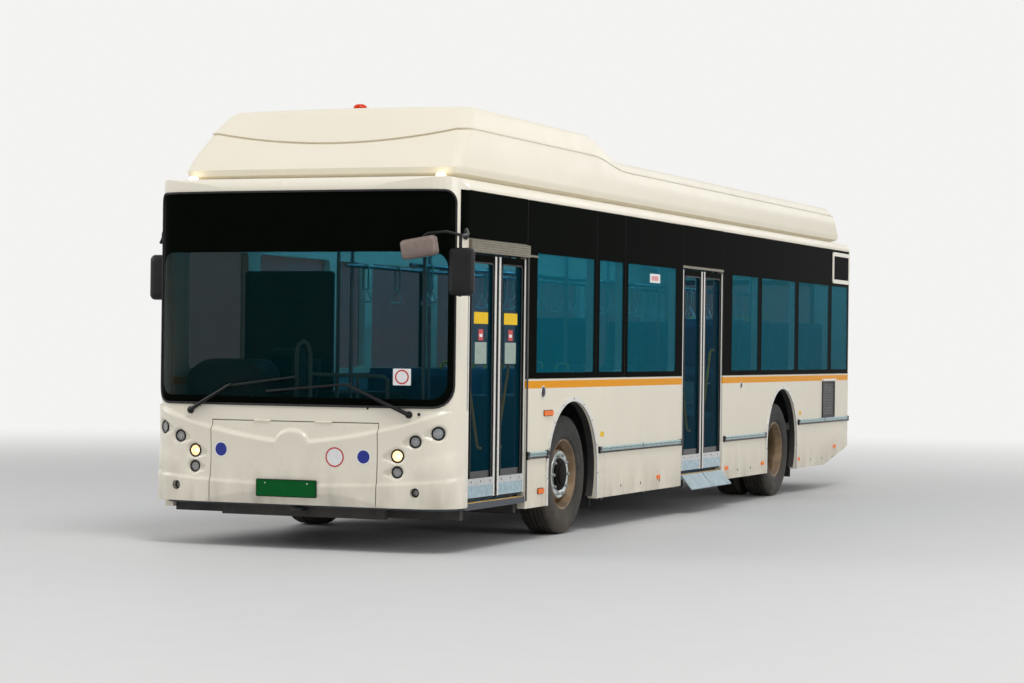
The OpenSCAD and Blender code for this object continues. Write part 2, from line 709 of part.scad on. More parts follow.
// Axles, knuckles and wheels
wheel_y = side_y - wheel_inset - tyre_w / 2;
twin_y = wheel_y - twin_pitch;
kingpin_y = wheel_y - tyre_w / 2 - kingpin_inset;
beam_foot = 155;
beam_h = 70;
kingpin_r = 24;
stub_r = 42;
front_disc = 75;
rear_disc = twin_pitch / 2 - 10;
eye_h = 90;
eye_r = 42;
fork_gap = 6;
fork_t = 32;
stub_end = wheel_y + front_disc + 28;
module front_axle() {
    in_y = kingpin_y - 120;
    color("dimgray") {
        difference() {
            union() {
                bar_x(front_axle_x - 45, front_axle_x + 45) polygon([
                    [-in_y, beam_foot], [in_y, beam_foot], [kingpin_y - 60, axle_z - 90],
                        [kingpin_y - 60, axle_z - eye_h / 2],
                    [kingpin_y, axle_z - eye_h / 2], [kingpin_y, axle_z + eye_h / 2],
                        [kingpin_y - 90, axle_z + eye_h / 2],
                    [in_y - 60, beam_foot + beam_h], [60 - in_y, beam_foot + beam_h],
                    [90 - kingpin_y, axle_z + eye_h / 2], [-kingpin_y, axle_z + eye_h / 2],
                        [-kingpin_y, axle_z - eye_h / 2],
                    [60 - kingpin_y, axle_z - eye_h / 2], [60 - kingpin_y, axle_z - 90]]);
                both_sides() translate([front_axle_x, kingpin_y, axle_z - eye_h / 2])
                    cylinder(r = eye_r, h = eye_h, $fn = 48);
            }
            both_sides() {
                translate([front_axle_x, kingpin_y, axle_z - 80])
                    cylinder(r = kingpin_r + hub_play, h = 160, $fn = 48);
                // the beam narrows to its eye
                for (k = [0, 1]) translate([front_axle_x, 0, 0]) mirror([k, 0, 0])
                    box([eye_r - 4, 60], [kingpin_y - 60, kingpin_y + 60], [axle_z - 80, axle_z + 80]);
            }
        }
        both_sides() translate([front_axle_x, 500, beam_foot + beam_h - 1])
            cylinder(r = 62, h = frame_z + rail_h - beam_foot - beam_h + 1, $fn = 48);
    }
}
module knuckle() {
    foot = eye_h / 2 + fork_gap;
    color("gray") translate([front_axle_x, 0, axle_z]) {
        translate([0, kingpin_y, -foot - fork_t]) cylinder(r = kingpin_r, h = 2 * (foot + fork_t), $fn = 48);
        for (z = [-foot - fork_t, foot]) {
            box([-32, 32], [kingpin_y, kingpin_y + 80], [z, z + fork_t]);
            translate([0, kingpin_y, z]) cylinder(r = 36, h = fork_t, $fn = 48);
        }
        box([-32, 32], [kingpin_y + eye_r + 10, kingpin_y + 80], [-foot - 1, foot + 1]);
        translate([0, kingpin_y + 79, 0]) rotate([-90, 0, 0])
            cylinder(r = stub_r, h = stub_end - kingpin_y - 79, $fn = 48);
        // brake disc
        translate([0, kingpin_y + 80, 0]) rotate([-90, 0, 0]) cylinder(r = 200, h = 36, $fn = 64);
    }
}
// Tyre in straight facets whose middles lie on the true radius, and one of them flat on the road
tyre_steps = 48;
module tyre_ring(y) {
    w = tyre_w / 2;
    r = tyre_d / 2;
    s = rim_d / 2;
    // half of the section, from bead to tread: radius, distance from the middle
    half = [[s, w - 38], [s + 60, w - 6], [s + 110, w], [r - 30, w - 14], [r, w - 58]];
    section = concat(half, [for (i = [len(half) - 1:-1:0]) [half[i][0], -half[i][1]]]);
    n = len(section);
    function place(k, p) = let (a = 360 / tyre_steps * (k + 0.5), q = p[0] / cos(180 / tyre_steps))
        [q * cos(a), y + p[1], axle_z + q * sin(a)];
    polyhedron([for (k = [0:tyre_steps - 1]) for (p = section) place(k, p)],
        [for (k = [0:tyre_steps - 1]) for (i = [0:n - 1]) let (a = k * n, b = (k + 1) % tyre_steps * n,
            j = (i + 1) % n)
            [a + i, b + i, b + j, a + j]], convexity = 4);
}
// Rim: disc face at d outside the tyre's middle, meeting the well at j; hub from h0 to h1, radius hr
module rim(y, out, d, j, h0, h1, hr) {
    w = tyre_w / 2;
    s = rim_d / 2;
    translate([0, y, axle_z]) rotate([-90 * out, 0, 0]) {
        difference() {
            union() {
                rotate_extrude($fn = 96) polygon([
                    [s, -w + 38], [s + 14, -w + 30], [s + 14, -w + 24], [s - 12, -w + 24],
                        [s - 30, -w + 70], [s - 52, -w + 90],
                    [s - 52, w - 96], [s - 30, w - 70], [s - 12, w - 24], [s + 14, w - 24],
                        [s + 14, w - 30], [s, w - 38],
                    [s, w - 60], [s - 40, w - 100], [s - 40, -w + 96], [s, -w + 66]]);
                rotate_extrude($fn = 96) polygon([
                    [0, h0], [hr, h0], [hr, d - 14], [168, d - 14], [s - 44, j - 14], [s - 44, j],
                        [170, d], [hr, d],
                    [hr - 14, h1 - 8], [hr - 24, h1], [0, h1]]);
            }
            for (i = [0:7]) rotate([0, 0, 45 * i]) translate([205, 0, min(d, j) - 60])
                cylinder(r = 24, h = 200, $fn = 32);
        }
        for (i = [0:9]) rotate([0, 0, 36 * i]) translate([140, 0, d - 1]) cylinder(r = 17, h = 30, $fn = 24);
    }
}
module front_tyre(s) {
    color([0.1, 0.1, 0.1]) translate([front_axle_x, 0, 0]) tyre_ring(s * wheel_y);
}
module front_rim(s) {
    color("tan") difference() {
        translate([front_axle_x, 0, 0])
            rim(s * wheel_y, s, front_disc, 22, front_disc - 90, tyre_w / 2 - 2, 105);
        translate([front_axle_x, s * (kingpin_y + 90), axle_z]) rotate([-90 * s, 0, 0])
            cylinder(r = stub_r + hub_play, h = stub_end - kingpin_y - 90 + 6, $fn = 48);
    }
}
module rear_tyres(s) {
    color([0.1, 0.1, 0.1]) translate([rear_axle_x, 0, 0]) {
        tyre_ring(s * wheel_y);
        tyre_ring(s * twin_y);
    }
}
module rear_rims(s) {
    d = rear_disc;
    color("tan") difference() {
        translate([rear_axle_x, 0, 0]) {
            rim(s * wheel_y, s, -d, -30, -d - 30, -10, 112);
            rim(s * twin_y, s, d, 34, d - 40, d + 12, 112);
        }
        translate([rear_axle_x, s * 500, axle_z]) rotate([-90 * s, 0, 0])
            cylinder(r = stub_r + hub_play, h = wheel_y - 60 - 500, $fn = 48);
    }
}
module rear_axle() {
    color("dimgray") {
        translate([rear_axle_x, 0, axle_z]) rotate([90, 0, 0]) {
            cylinder(r = 70, h = 2 * twin_y, center = true, $fn = 48);
            cylinder(r = stub_r, h = 2 * (wheel_y - 66), center = true, $fn = 48);
            cylinder(r = 170, h = 180, center = true, $fn = 64);
            // brake drums inside the inner rims
            for (k = [-1, 1]) translate([0, 0, k * (twin_y + 10)])
                cylinder(r = 165, h = 120, center = true, $fn = 64);
        }
        both_sides() translate([rear_axle_x, 440, axle_z])
            cylinder(r = 75, h = rear_rail_z - axle_z, $fn = 48);
    }
}

// Doors: a turning post carries each leaf on two arms
post_u = -32;
post_v = 84;
ear_r = 18;
hinge_v = leaf_t;
function leaf_w(door) = (door[1] - 2 * jamb_gap - meet_gap) / 2;
function hinge_u(door) = leaf_w(door) / 2 - 56;
function arm_len(door) = norm([hinge_u(door) - post_u, hinge_v - post_v]);
function arm_deg(door) = atan2(hinge_v - post_v, hinge_u(door) - post_u);
// Local door frame: u along the leaf from its trailing edge, v inward; side 1 is the fore leaf
module door_place(door, side) {
    x = side > 0 ? door[0] - jamb_gap : door[0] - door[1] + jamb_gap;
    translate([x, leaf_y, 0]) mirror([side > 0 ? 1 : 0, 0, 0]) mirror([0, 1, 0]) children();
}
module leaf(door, side) {
    w = leaf_w(door);
    top = door[2] - leaf_head;
    color("silver") door_place(door, side) {
        difference() {
            box([0, w], [0, leaf_t], [leaf_foot, top]);
            box([stile_w, w - stile_w], [-1, leaf_t + 1], [leaf_foot + 110, top - 60]);
        }
        // kick plate over the foot of the frame
        box([stile_w / 2, w - stile_w / 2], [-2, 1], [leaf_foot + 4, leaf_foot + 100]);
        // hinge ears with a pin each
        for (z = [[leaf_foot, leaf_foot + 60, leaf_foot - arm_t - 6], [top - 50, top, top - 1]])
            translate([hinge_u(door), hinge_v, 0]) {
                translate([0, 0, z[0]]) cylinder(r = ear_r, h = z[1] - z[0], $fn = 48);
                translate([0, 0, z[2]]) cylinder(r = pin_r, h = arm_t + 7, $fn = 48);
            }
    }
    color("teal", 0.5) door_place(door, side)
        box([stile_w, w - stile_w], [10, 16], [leaf_foot + 110, top - 60]);
}
module post(door, side) {
    top = door[2] - leaf_head;
    color("dimgray") door_place(door, side) translate([post_u, post_v, 0]) {
        translate([0, 0, floor_z]) cylinder(r = post_r, h = door[2] - floor_z, $fn = 48);
        for (z = [leaf_foot - arm_t - 5, top + 5]) rotate([0, 0, arm_deg(door)]) translate([0, 0, z])
            difference() {
            union() {
                translate([0, -15, 0]) cube([arm_len(door), 30, arm_t]);
                translate([arm_len(door), 0, 0]) cylinder(r = 18, h = arm_t, $fn = 48);
            }
            translate([arm_len(door), 0, -1]) cylinder(r = pin_r + hub_play, h = arm_t + 2, $fn = 48);
        }
    }
}
// Headers close the wall above the doorways: a panel with the door operators' box on its inner side
operator_y = inner_y - 170;
module door_header(door, fore) {
    box([door[0] - door[1], door[0]], [inner_y - 1, side_y - glass_t], [door[2], cant_z]);
    box([door[0] - door[1] - 60, door[0]], [operator_y, inner_y], [door[2], door[2] + 150]);
    box([door[0] - 1, door[0] + 60], [operator_y, fore], [door[2], door[2] + 150]);
}
module door_headers() {
    color("gray") {
        door_header(FRONT_DOOR, inner_y - 12);
        // rain gutter over the front doorway, outside
        box([front_door_rear, FRONT_DOOR[0] - 4], [side_y - glass_t - 1, side_y + 24],
            [front_door_top, front_door_top + 92]);
        door_header(MID_DOOR, inner_y);
        box([mid_door_rear, MID_DOOR[0]], [side_y - glass_t - 1, side_y], [mid_door_top, mid_door_top + 20]);
    }
}
module step_guards() {
    w = (mid_door_w - 60) / 2;
    color("silver") for (i = [0:1])
        bar_x(MID_DOOR[0] - 20 - w - (w + 20) * i, MID_DOOR[0] - 20 - (w + 20) * i) polygon([
            [side_y - 4, floor_z], [side_y + 4, floor_z], [side_y + 110, 240], [side_y + 104, 232],
            [side_y + 3, floor_z - 14], [side_y + 3, floor_z - 45], [side_y - 4, floor_z - 45]]);
}

// Outside trims
module arch_trims() {
    color("silver") for (s = [0, 1]) mirror([0, s, 0])
        for (a = [[front_axle_x, 0], [rear_axle_x, rear_arch_lift]])
        plate_y(side_y, 12) intersection() {
            difference() {
                arch_cut(a[0], a[1], arch_r + arch_trim_w);
                arch_cut(a[0], a[1], arch_r);
            }
            translate([a[0] - 700, skirt_z]) square([1400, 1200]);
        }
}
// rub rails of the left side: front end, rear end, foot
left_rubs = [[nose_x - 1580, front_axle_x + 640, 668], [front_axle_x - 640, MID_DOOR[0] + 10, 660],
    [mid_door_rear - 40, rear_axle_x + 640, 650], [rear_axle_x - 640, wall_rear, 756]];
right_rubs = [[wall_front - 20, front_axle_x + 640, 668], [front_axle_x - 640, rear_axle_x + 640, 655],
    [rear_axle_x - 640, wall_rear, 756]];
rub_h = 54;
rub_cap = 45;
// gap between a rail and the wall it is fixed to
rub_seat = 0.3;
module rub(r) {
    ends = [min(r[0], r[1]), max(r[0], r[1])];
    bar_x(ends[0] + 1, ends[1] - 1) translate([side_y, r[2]])
        polygon([[rub_seat, 2], [12, 0], [19, 4], [21, 12], [16, 18],
        [16, 34], [21, 40], [19, 50], [12, rub_h], [rub_seat, rub_h - 2]]);
    for (x = [ends[0], ends[1] - rub_cap]) bar_x(x, x + rub_cap) translate([side_y, r[2]])
        polygon([[rub_seat, -3], [18, -3], [24, 4], [24, rub_h - 4], [18, rub_h + 3],
            [rub_seat, rub_h + 3]]);
}
module rub_rails() {
    color("silver") {
        for (r = left_rubs) rub(r);
        mirror([0, 1, 0]) for (r = right_rubs) rub(r);
    }
}
module tail_lamps() {
    color("red") both_sides() for (z = [760, 900, 1040, 1180]) translate([tail_x - lamp_t, side_y - 170, z])
        rotate([0, 90, 0])
        cylinder(r = 50, h = lamp_t, $fn = 48);
}
// small side lamps: x, z
SIDE_LAMPS = [[front_door_rear - 331, 398], [front_door_rear - 491, 1031], [MID_DOOR[0] + 679, 383],
    [mid_door_rear - 152, 382], [rear_axle_x + 743, 383], [rear_axle_x - 678, 374], [tail_x + 671, 469]];
module marker_lamps() {
    color("orange") {
        both_sides() for (l = SIDE_LAMPS)
            box([l[0] - 40, l[0] + 40], [side_y, side_y + 12], [l[1] - 18, l[1] + 18]);
        both_sides() translate([wall_front + 20, 1070, roof_z]) cylinder(r = 34, h = 16, $fn = 32);
    }
}
module mudflaps() {
    color([0.1, 0.1, 0.1]) both_sides() {
        box([front_axle_x - 632, front_axle_x - 620], [900, inner_y], [180, 700]);
        box([rear_axle_x - 612, rear_axle_x - 600], [650, inner_y], [180, 700]);
    }
}
module side_grille() {
    x0 = rear_axle_x - 2208;
    x1 = x0 + 541;
    color("dimgray") difference() {
        box([x0, x1], [side_y, side_y + 14], [815, 1235]);
        for (i = [0:9]) box([x0 + 25, x1 - 25], [side_y + 5, side_y + 15], [840 + 38 * i, 862 + 38 * i]);
    }
    // white cap over its upper edge
    color("white") bar_x(x0 - 10, x1 + 10) translate([side_y, 1230])
        polygon([[0, 0], [26, 0], [30, 8], [26, 22], [0, 28]]);
}
// A framed window on the rearmost pane of each side
frame_x = [tail_x + 78, tail_x + 847];
frame_z2 = [2366, 2727];
module high_frame() {
    plate_y(side_y - 1, 13) difference() {
        translate([(frame_x[0] + frame_x[1]) / 2, (frame_z2[0] + frame_z2[1]) / 2])
            rounded(frame_x[1] - frame_x[0], frame_z2[1] - frame_z2[0], 30);
        translate([(frame_x[0] + frame_x[1]) / 2, (frame_z2[0] + frame_z2[1]) / 2])
            rounded(frame_x[1] - frame_x[0] - 90, frame_z2[1] - frame_z2[0] - 90, 15);
    }
}
// wipers: pivot, end of the arm, both ends of the blade, as y, z
WIPERS = [[[951, 1050], [457, 1262], [500, 1262], [-240, 1205]],
    [[-912, 1050], [-400, 1262], [-700, 1206], [20, 1322]]];
module wiper_knob(q, lift, r, h) {
    translate([nose_surface_x(abs(q[0])) + lift, q[0], q[1]]) rotate([0, 90, 0])
        cylinder(r = r, h = h, $fn = 24);
}
module wipers() {
    color([0.1, 0.1, 0.1]) difference() {
        for (w = WIPERS) {
            wiper_knob(w[0], -10, 28, 40);
            hull() {
                wiper_knob(w[0], 16, 14, 14);
                wiper_knob(w[1], 12, 8, 14);
            }
            for (i = [0:3]) hull() for (t = [i / 4, (i + 1) / 4])
                wiper_knob(w[2] + (w[3] - w[2]) * t, 4, 7, 12);
        }
        plain_nose();
    }
}
// Mirrors: bracket, arm, tall main head and wide kerb head
arm_r = 14;
arm_z = 2400;
main_head = [200, 360, 60];
kerb_head = [270, 140, 80];
arm_top = [nose_x - 40, side_y + 60, arm_z];
kerb_elbow = [nose_x + 50, side_y - 170, arm_z + 10];
kerb_end = kerb_elbow - [0, 50, 60];
module arm(a, b, r) {
    hull() for (q = [a, b]) translate(q) sphere(r = r, $fn = 16);
}
module mirror_set() {
    color([0.12, 0.12, 0.12]) {
        difference() {
            box([wall_front + 20, wall_front + 100], [side_y - 40, side_y + 26], [arm_z - 40, arm_z + 60]);
            plain_nose();
        }
        arm([wall_front + 60, side_y + 20, arm_z + 20], arm_top, arm_r);
        translate([arm_top[0], arm_top[1], arm_z - 280]) cylinder(r = arm_r, h = 280, $fn = 32);
        translate([nose_x - main_head[2], side_y + 75, arm_z - 275]) plate_mirror(main_head);
    }
}
// A mirror head: flat glass side to the rear, domed towards the front
module plate_mirror(size) {
    hull() {
        rotate([90, 0, 90]) linear_extrude(size[2] * 0.55) rounded(size[0], size[1], 40);
        rotate([90, 0, 90]) linear_extrude(size[2]) rounded(size[0] * 0.72, size[1] * 0.82, 40);
    }
}
module mirrors() {
    both_sides() mirror_set();
    color([0.12, 0.12, 0.12]) {
        arm(arm_top, kerb_elbow, arm_r - 2);
        arm(kerb_elbow, kerb_end, arm_r - 2);
        translate([nose_x + 20, kerb_end[1] - 30, kerb_end[2] - 50]) plate_mirror(kerb_head);
    }
}

// Inside
dash_end = 305;
// the driver sits on the right, behind the wheel
driver_seat_w = 500;
driver_y = 520 - inner_y;
module dashboard() {
    color("dimgray") {
        intersection() {
            linear_extrude(roof_z) nose_plan(mask_t, wall_front - 300);
            plate_y(5 - inner_y, inner_y + dash_end) polygon([[nose_x - 235, floor_z], [nose_x - 235, 900],
                [nose_x - 260, 1080], [nose_x - 520, 1130], [nose_x - 620, 1080], [nose_x - 560, 1000],
                [nose_x - 430, 900], [nose_x - 400, floor_z]]);
        }
        translate([nose_x - 560, driver_y, 1040]) rotate([0, -60, 0]) {
            cylinder(r = 24, h = 240, $fn = 32);
            translate([0, 0, 235]) cylinder(r = 60, h = 20, $fn = 32);
            translate([0, 0, 240]) rotate_extrude($fn = 64) translate([220, 0]) circle(14, $fn = 24);
            for (a = [0, 120, 240]) rotate([0, 0, a]) translate([0, -12, 240]) cube([218, 24, 10]);
        }
    }
}
// Side view of a seat: pedestal, cushion and back, x towards the rear
module seat_outline(foot, back_h) {
    polygon([[60, 0], [360, 0], [360, foot - 90], [440, foot - 60], [530, foot + back_h],
        [490, foot + back_h + 10],
        [450, foot + back_h], [380, foot + 40], [340, foot + 10], [20, foot + 20], [0, foot],
            [10, foot - 50], [60, foot - 80]]);
}
module seat(x, y, z, w, foot) {
    translate([x, y + w, z]) mirror([1, 0, 0]) rotate([90, 0, 0]) linear_extrude(w) seat_outline(foot, 560);
}
module driver_seat() {
    color("dimgray") seat(nose_x - 900, driver_y - driver_seat_w / 2, floor_z, driver_seat_w, 520);
}
// rows of double seats: front edge of the cushion, side (1 left, -1 right)
row_pitch = 750;
left_row = front_axle_x - 1470;
seat_run = 540;
left_rows = floor((left_row - seat_run - MID_DOOR[0] - 180) / row_pitch);
right_row = front_axle_x - 820;
LOW_ROWS = concat([for (i = [0:left_rows]) [left_row - i * row_pitch, 1]],
    [for (i = [0:3]) [right_row - i * row_pitch, -1]]);
HIGH_ROWS = [for (x = [step_x - 250, rear_axle_x - 865, rear_axle_x - 1715]) for (side = [1, -1]) [x, side]];
module double_seat(row, floor) {
    seat(row[0], row[1] > 0 ? inner_y - 10 - 2 * seat_w : 10 - inner_y, floor, 2 * seat_w, 430);
}
module passenger_seats() {
    color("lightgray") {
        for (r = LOW_ROWS) double_seat(r, floor_z);
        for (r = HIGH_ROWS) double_seat(r, rear_floor_z);
    }
}
ceiling_z = roof_z - roof_t;
pole_y = inner_y - 10 - 2 * seat_w - 30;
ceiling_rail_z = 2230;
module grab_rails() {
    color("gold") both_sides() translate([tail_x + 700, pole_y - 2 * rail_r, ceiling_rail_z])
        rotate([0, 90, 0])
        cylinder(r = rail_r, h = nose_x - 1500 - tail_x - 700, $fn = 24);
}
// poles on the low floor and on the raised floor
LOW_POLES = [front_door_rear - 140, front_axle_x - 670, MID_DOOR[0] + 583];
HIGH_POLES = [rear_axle_x + 1085, rear_axle_x - 615, rear_axle_x - 2015];
module grab_pole(x, foot) {
    translate([x, pole_y, foot]) cylinder(r = rail_r, h = ceiling_z - foot, $fn = 24);
}
module grab_poles() {
    color("gold") both_sides() {
        for (x = LOW_POLES) grab_pole(x, floor_z);
        for (x = HIGH_POLES) grab_pole(x, rear_floor_z);
    }
}

underframe();
cross_members();
floor_deck();
floor_steps();
wheel_housings();
left_wall();
right_wall();
nose_panel();
tail_panel();
roof_panel();
roof_fairing();
windscreen();
window_glass();
dashboard();
driver_seat();
passenger_seats();
grab_rails();
grab_poles();
arch_trims();
rub_rails();
headlamps();
tail_lamps();
marker_lamps();
beacon();
wipers();
mirrors();
side_grille();
door_headers();
step_guards();
drive_motor();
front_axle();
rear_axle();
mudflaps();
front_hatch();
rear_hatch();
knuckle();  // knuckle_left
mirror([0, 1, 0]) knuckle();  // knuckle_right
front_tyre(1);  // front_left_tyre
front_rim(1);  // front_left_rim
front_tyre(-1);  // front_right_tyre
front_rim(-1);  // front_right_rim
rear_tyres(1);  // rear_left_tyres
rear_rims(1);  // rear_left_rims
rear_tyres(-1);  // rear_right_tyres
rear_rims(-1);  // rear_right_rims
leaf(FRONT_DOOR, 1);  // front_door_fore_leaf
post(FRONT_DOOR, 1);  // front_door_fore_post
leaf(FRONT_DOOR, -1);  // front_door_aft_leaf
post(FRONT_DOOR, -1);  // front_door_aft_post
leaf(MID_DOOR, 1);  // mid_door_fore_leaf
post(MID_DOOR, 1);  // mid_door_fore_post
leaf(MID_DOOR, -1);  // mid_door_aft_leaf
post(MID_DOOR, -1);  // mid_door_aft_post
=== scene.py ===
import json
import math

import bmesh
import bpy
from mathutils import Matrix, Vector


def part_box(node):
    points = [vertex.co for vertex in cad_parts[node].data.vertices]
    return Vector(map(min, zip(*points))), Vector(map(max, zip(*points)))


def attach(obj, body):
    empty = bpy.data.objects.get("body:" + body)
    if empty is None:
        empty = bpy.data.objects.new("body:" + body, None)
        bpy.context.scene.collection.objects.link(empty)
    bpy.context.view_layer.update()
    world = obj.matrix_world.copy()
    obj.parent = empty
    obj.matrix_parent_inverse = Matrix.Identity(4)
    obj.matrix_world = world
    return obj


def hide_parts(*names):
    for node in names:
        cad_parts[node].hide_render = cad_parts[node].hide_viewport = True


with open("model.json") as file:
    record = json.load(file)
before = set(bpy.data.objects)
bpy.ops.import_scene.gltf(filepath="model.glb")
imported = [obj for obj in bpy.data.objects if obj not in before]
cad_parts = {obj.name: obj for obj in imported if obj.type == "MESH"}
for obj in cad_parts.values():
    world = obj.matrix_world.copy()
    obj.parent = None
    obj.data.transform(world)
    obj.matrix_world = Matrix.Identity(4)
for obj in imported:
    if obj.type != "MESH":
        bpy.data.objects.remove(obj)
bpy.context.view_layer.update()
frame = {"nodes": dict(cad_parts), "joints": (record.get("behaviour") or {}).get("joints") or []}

# Lengths of the geometry are in millimetres, as in the part's source; Build turns them into metres
MM = 1000
NODES = frame["nodes"]
JOINTS = {j["name"]: Vector([v * MM for v in j["pos_m"]]) for j in frame["joints"]}
X, Y, Z = (1, 0, 0), (0, 1, 0), (0, 0, 1)
SIDES = (("left", 1), ("right", -1))


def low(node):
    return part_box(node)[0] * MM


def high(node):
    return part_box(node)[1] * MM


# Places that follow from the frame
nose_x, tail_x = JOINTS["front_hatch_lift"].x, JOINTS["rear_hatch_lift"].x
wall_front, wall_rear = low("nose_panel").x, high("tail_panel").x
inner_y, side_y = low("left_wall").y, high("left_wall").y
roof_z, cant_z = high("roof_panel").z, high("left_wall").z
floor_z, rear_floor_z = 370, high("floor_deck").z
ceiling_z = roof_z - 60
front_axle, rear_axle = JOINTS["front_left_wheel_spin"], JOINTS["rear_left_wheels_spin"]
AXLES = (front_axle.x, rear_axle.x)
front_door = (wall_front, low("front_door_aft_leaf").x - 12)
mid_door = (high("mid_door_fore_leaf").x + 12, low("mid_door_aft_leaf").x - 12)
NOSE_R, CORNER_R = 9000, 280
corner_y = side_y - CORNER_R
corner_x = nose_x - NOSE_R + math.sqrt((NOSE_R - CORNER_R) ** 2 - corner_y**2)
flat_y = corner_y * NOSE_R / (NOSE_R - CORNER_R)
flat_a = math.asin(flat_y / NOSE_R)
flat_s = NOSE_R * flat_a
corner_s = CORNER_R * (math.pi / 2 - flat_a)


# Small helpers
def smooth(a, b, x):
    t = min(1, max(0, (x - a) / (b - a)))
    return t * t * (3 - 2 * t)


def srgb(*c):
    return tuple(((v / 255 + 0.055) / 1.055) ** 2.4 if v > 10 else v / 3294 for v in c)


def arc_s(y):
    """Distance along the nose, in plan, from its middle to a point at that y."""
    a = abs(y)
    if a <= flat_y:
        return math.copysign(NOSE_R * math.asin(a / NOSE_R), y)
    turn = math.asin(min(1, (a - corner_y) / CORNER_R)) - flat_a
    return math.copysign(flat_s + CORNER_R * turn, y)


def nose_arc(s, out=0):
    """Point at that distance along the nose, moved outwards, and the direction it faces."""
    a = abs(s)
    if a <= flat_s:
        angle = a / NOSE_R
        x, y = nose_x - NOSE_R + (NOSE_R + out) * math.cos(angle), (NOSE_R + out) * math.sin(angle)
    elif a <= flat_s + corner_s:
        angle = flat_a + (a - flat_s) / CORNER_R
        x, y = corner_x + (CORNER_R + out) * math.cos(angle), corner_y + (CORNER_R + out) * math.sin(angle)
    else:
        angle = math.pi / 2
        x, y = corner_x - (a - flat_s - corner_s), side_y + out
    return Vector((x, math.copysign(y, s))), math.copysign(angle, s)


def even(a, b, n):
    """Values from a to b in n equal parts."""
    return [a + (b - a) * i / n for i in range(n + 1)]


def steps(a, b, size):
    """Evenly spaced values from a to b, about size apart."""
    return even(a, b, max(1, round(abs(b - a) / size)))


def grid_lines(stops, size):
    """The stops, with evenly spaced values between them."""
    out = [stops[0]]
    for a, b in zip(stops, stops[1:]):
        out += steps(a, b, size)[1:]
    return out


def ring(r, n=40, shift=0):
    """Points round a circle; shift turns them by that share of a step."""
    turns = [math.tau * (k + shift) / n for k in range(n)]
    return [(r * math.cos(a), r * math.sin(a)) for a in turns]


def rounded(w, h, r, arc=6, edge=1, at=(0, 0), foot_r=None):
    """Outline of a rounded rectangle, with each straight side in that many parts."""
    corners = []
    for k, (sx, sy) in enumerate(((1, 1), (-1, 1), (-1, -1), (1, -1))):
        q = r if sy > 0 or foot_r is None else foot_r
        turns = [math.pi / 2 * (k + i / arc) for i in range(arc + 1)]
        x, y = at[0] + sx * (w / 2 - q), at[1] + sy * (h / 2 - q)
        corners.append([(x + q * math.cos(a), y + q * math.sin(a)) for a in turns])
    out = []
    for corner, after in zip(corners, corners[1:] + corners[:1]):
        (x0, y0), (x1, y1) = corner[-1], after[0]
        out += corner + [(x0 + (x1 - x0) * t / edge, y0 + (y1 - y0) * t / edge) for t in range(1, edge)]
    return out


def plane(x, y, z, axes, s=1):
    """Places (a, b, d) along three axes, such as x or -y, from a point; s = -1 mirrors to the right side."""
    along = [("xyz".index(axis[-1]), -1 if axis[0] == "-" else 1) for axis in axes.split()]

    def place(*lengths):
        p = [x, y, z]
        for (axis, sign), length in zip(along, lengths):
            p[axis] += sign * length
        return p[0], s * p[1], p[2]
    return place


def moved(place, a=0, b=0, d=0):
    """The same surface from another starting point."""
    return lambda p, q, r: place(p + a, q + b, r + d)


def placed(name, data):
    """A new object in the scene."""
    piece = bpy.data.objects.new(name, data)
    bpy.context.scene.collection.objects.link(piece)
    return piece


def soft_edges(piece, width):
    mod = piece.modifiers.new("soft edges", "BEVEL")
    mod.width, mod.segments, mod.limit_method = width / MM, 2, "ANGLE"
    mod.angle_limit, mod.harden_normals = math.radians(40), True


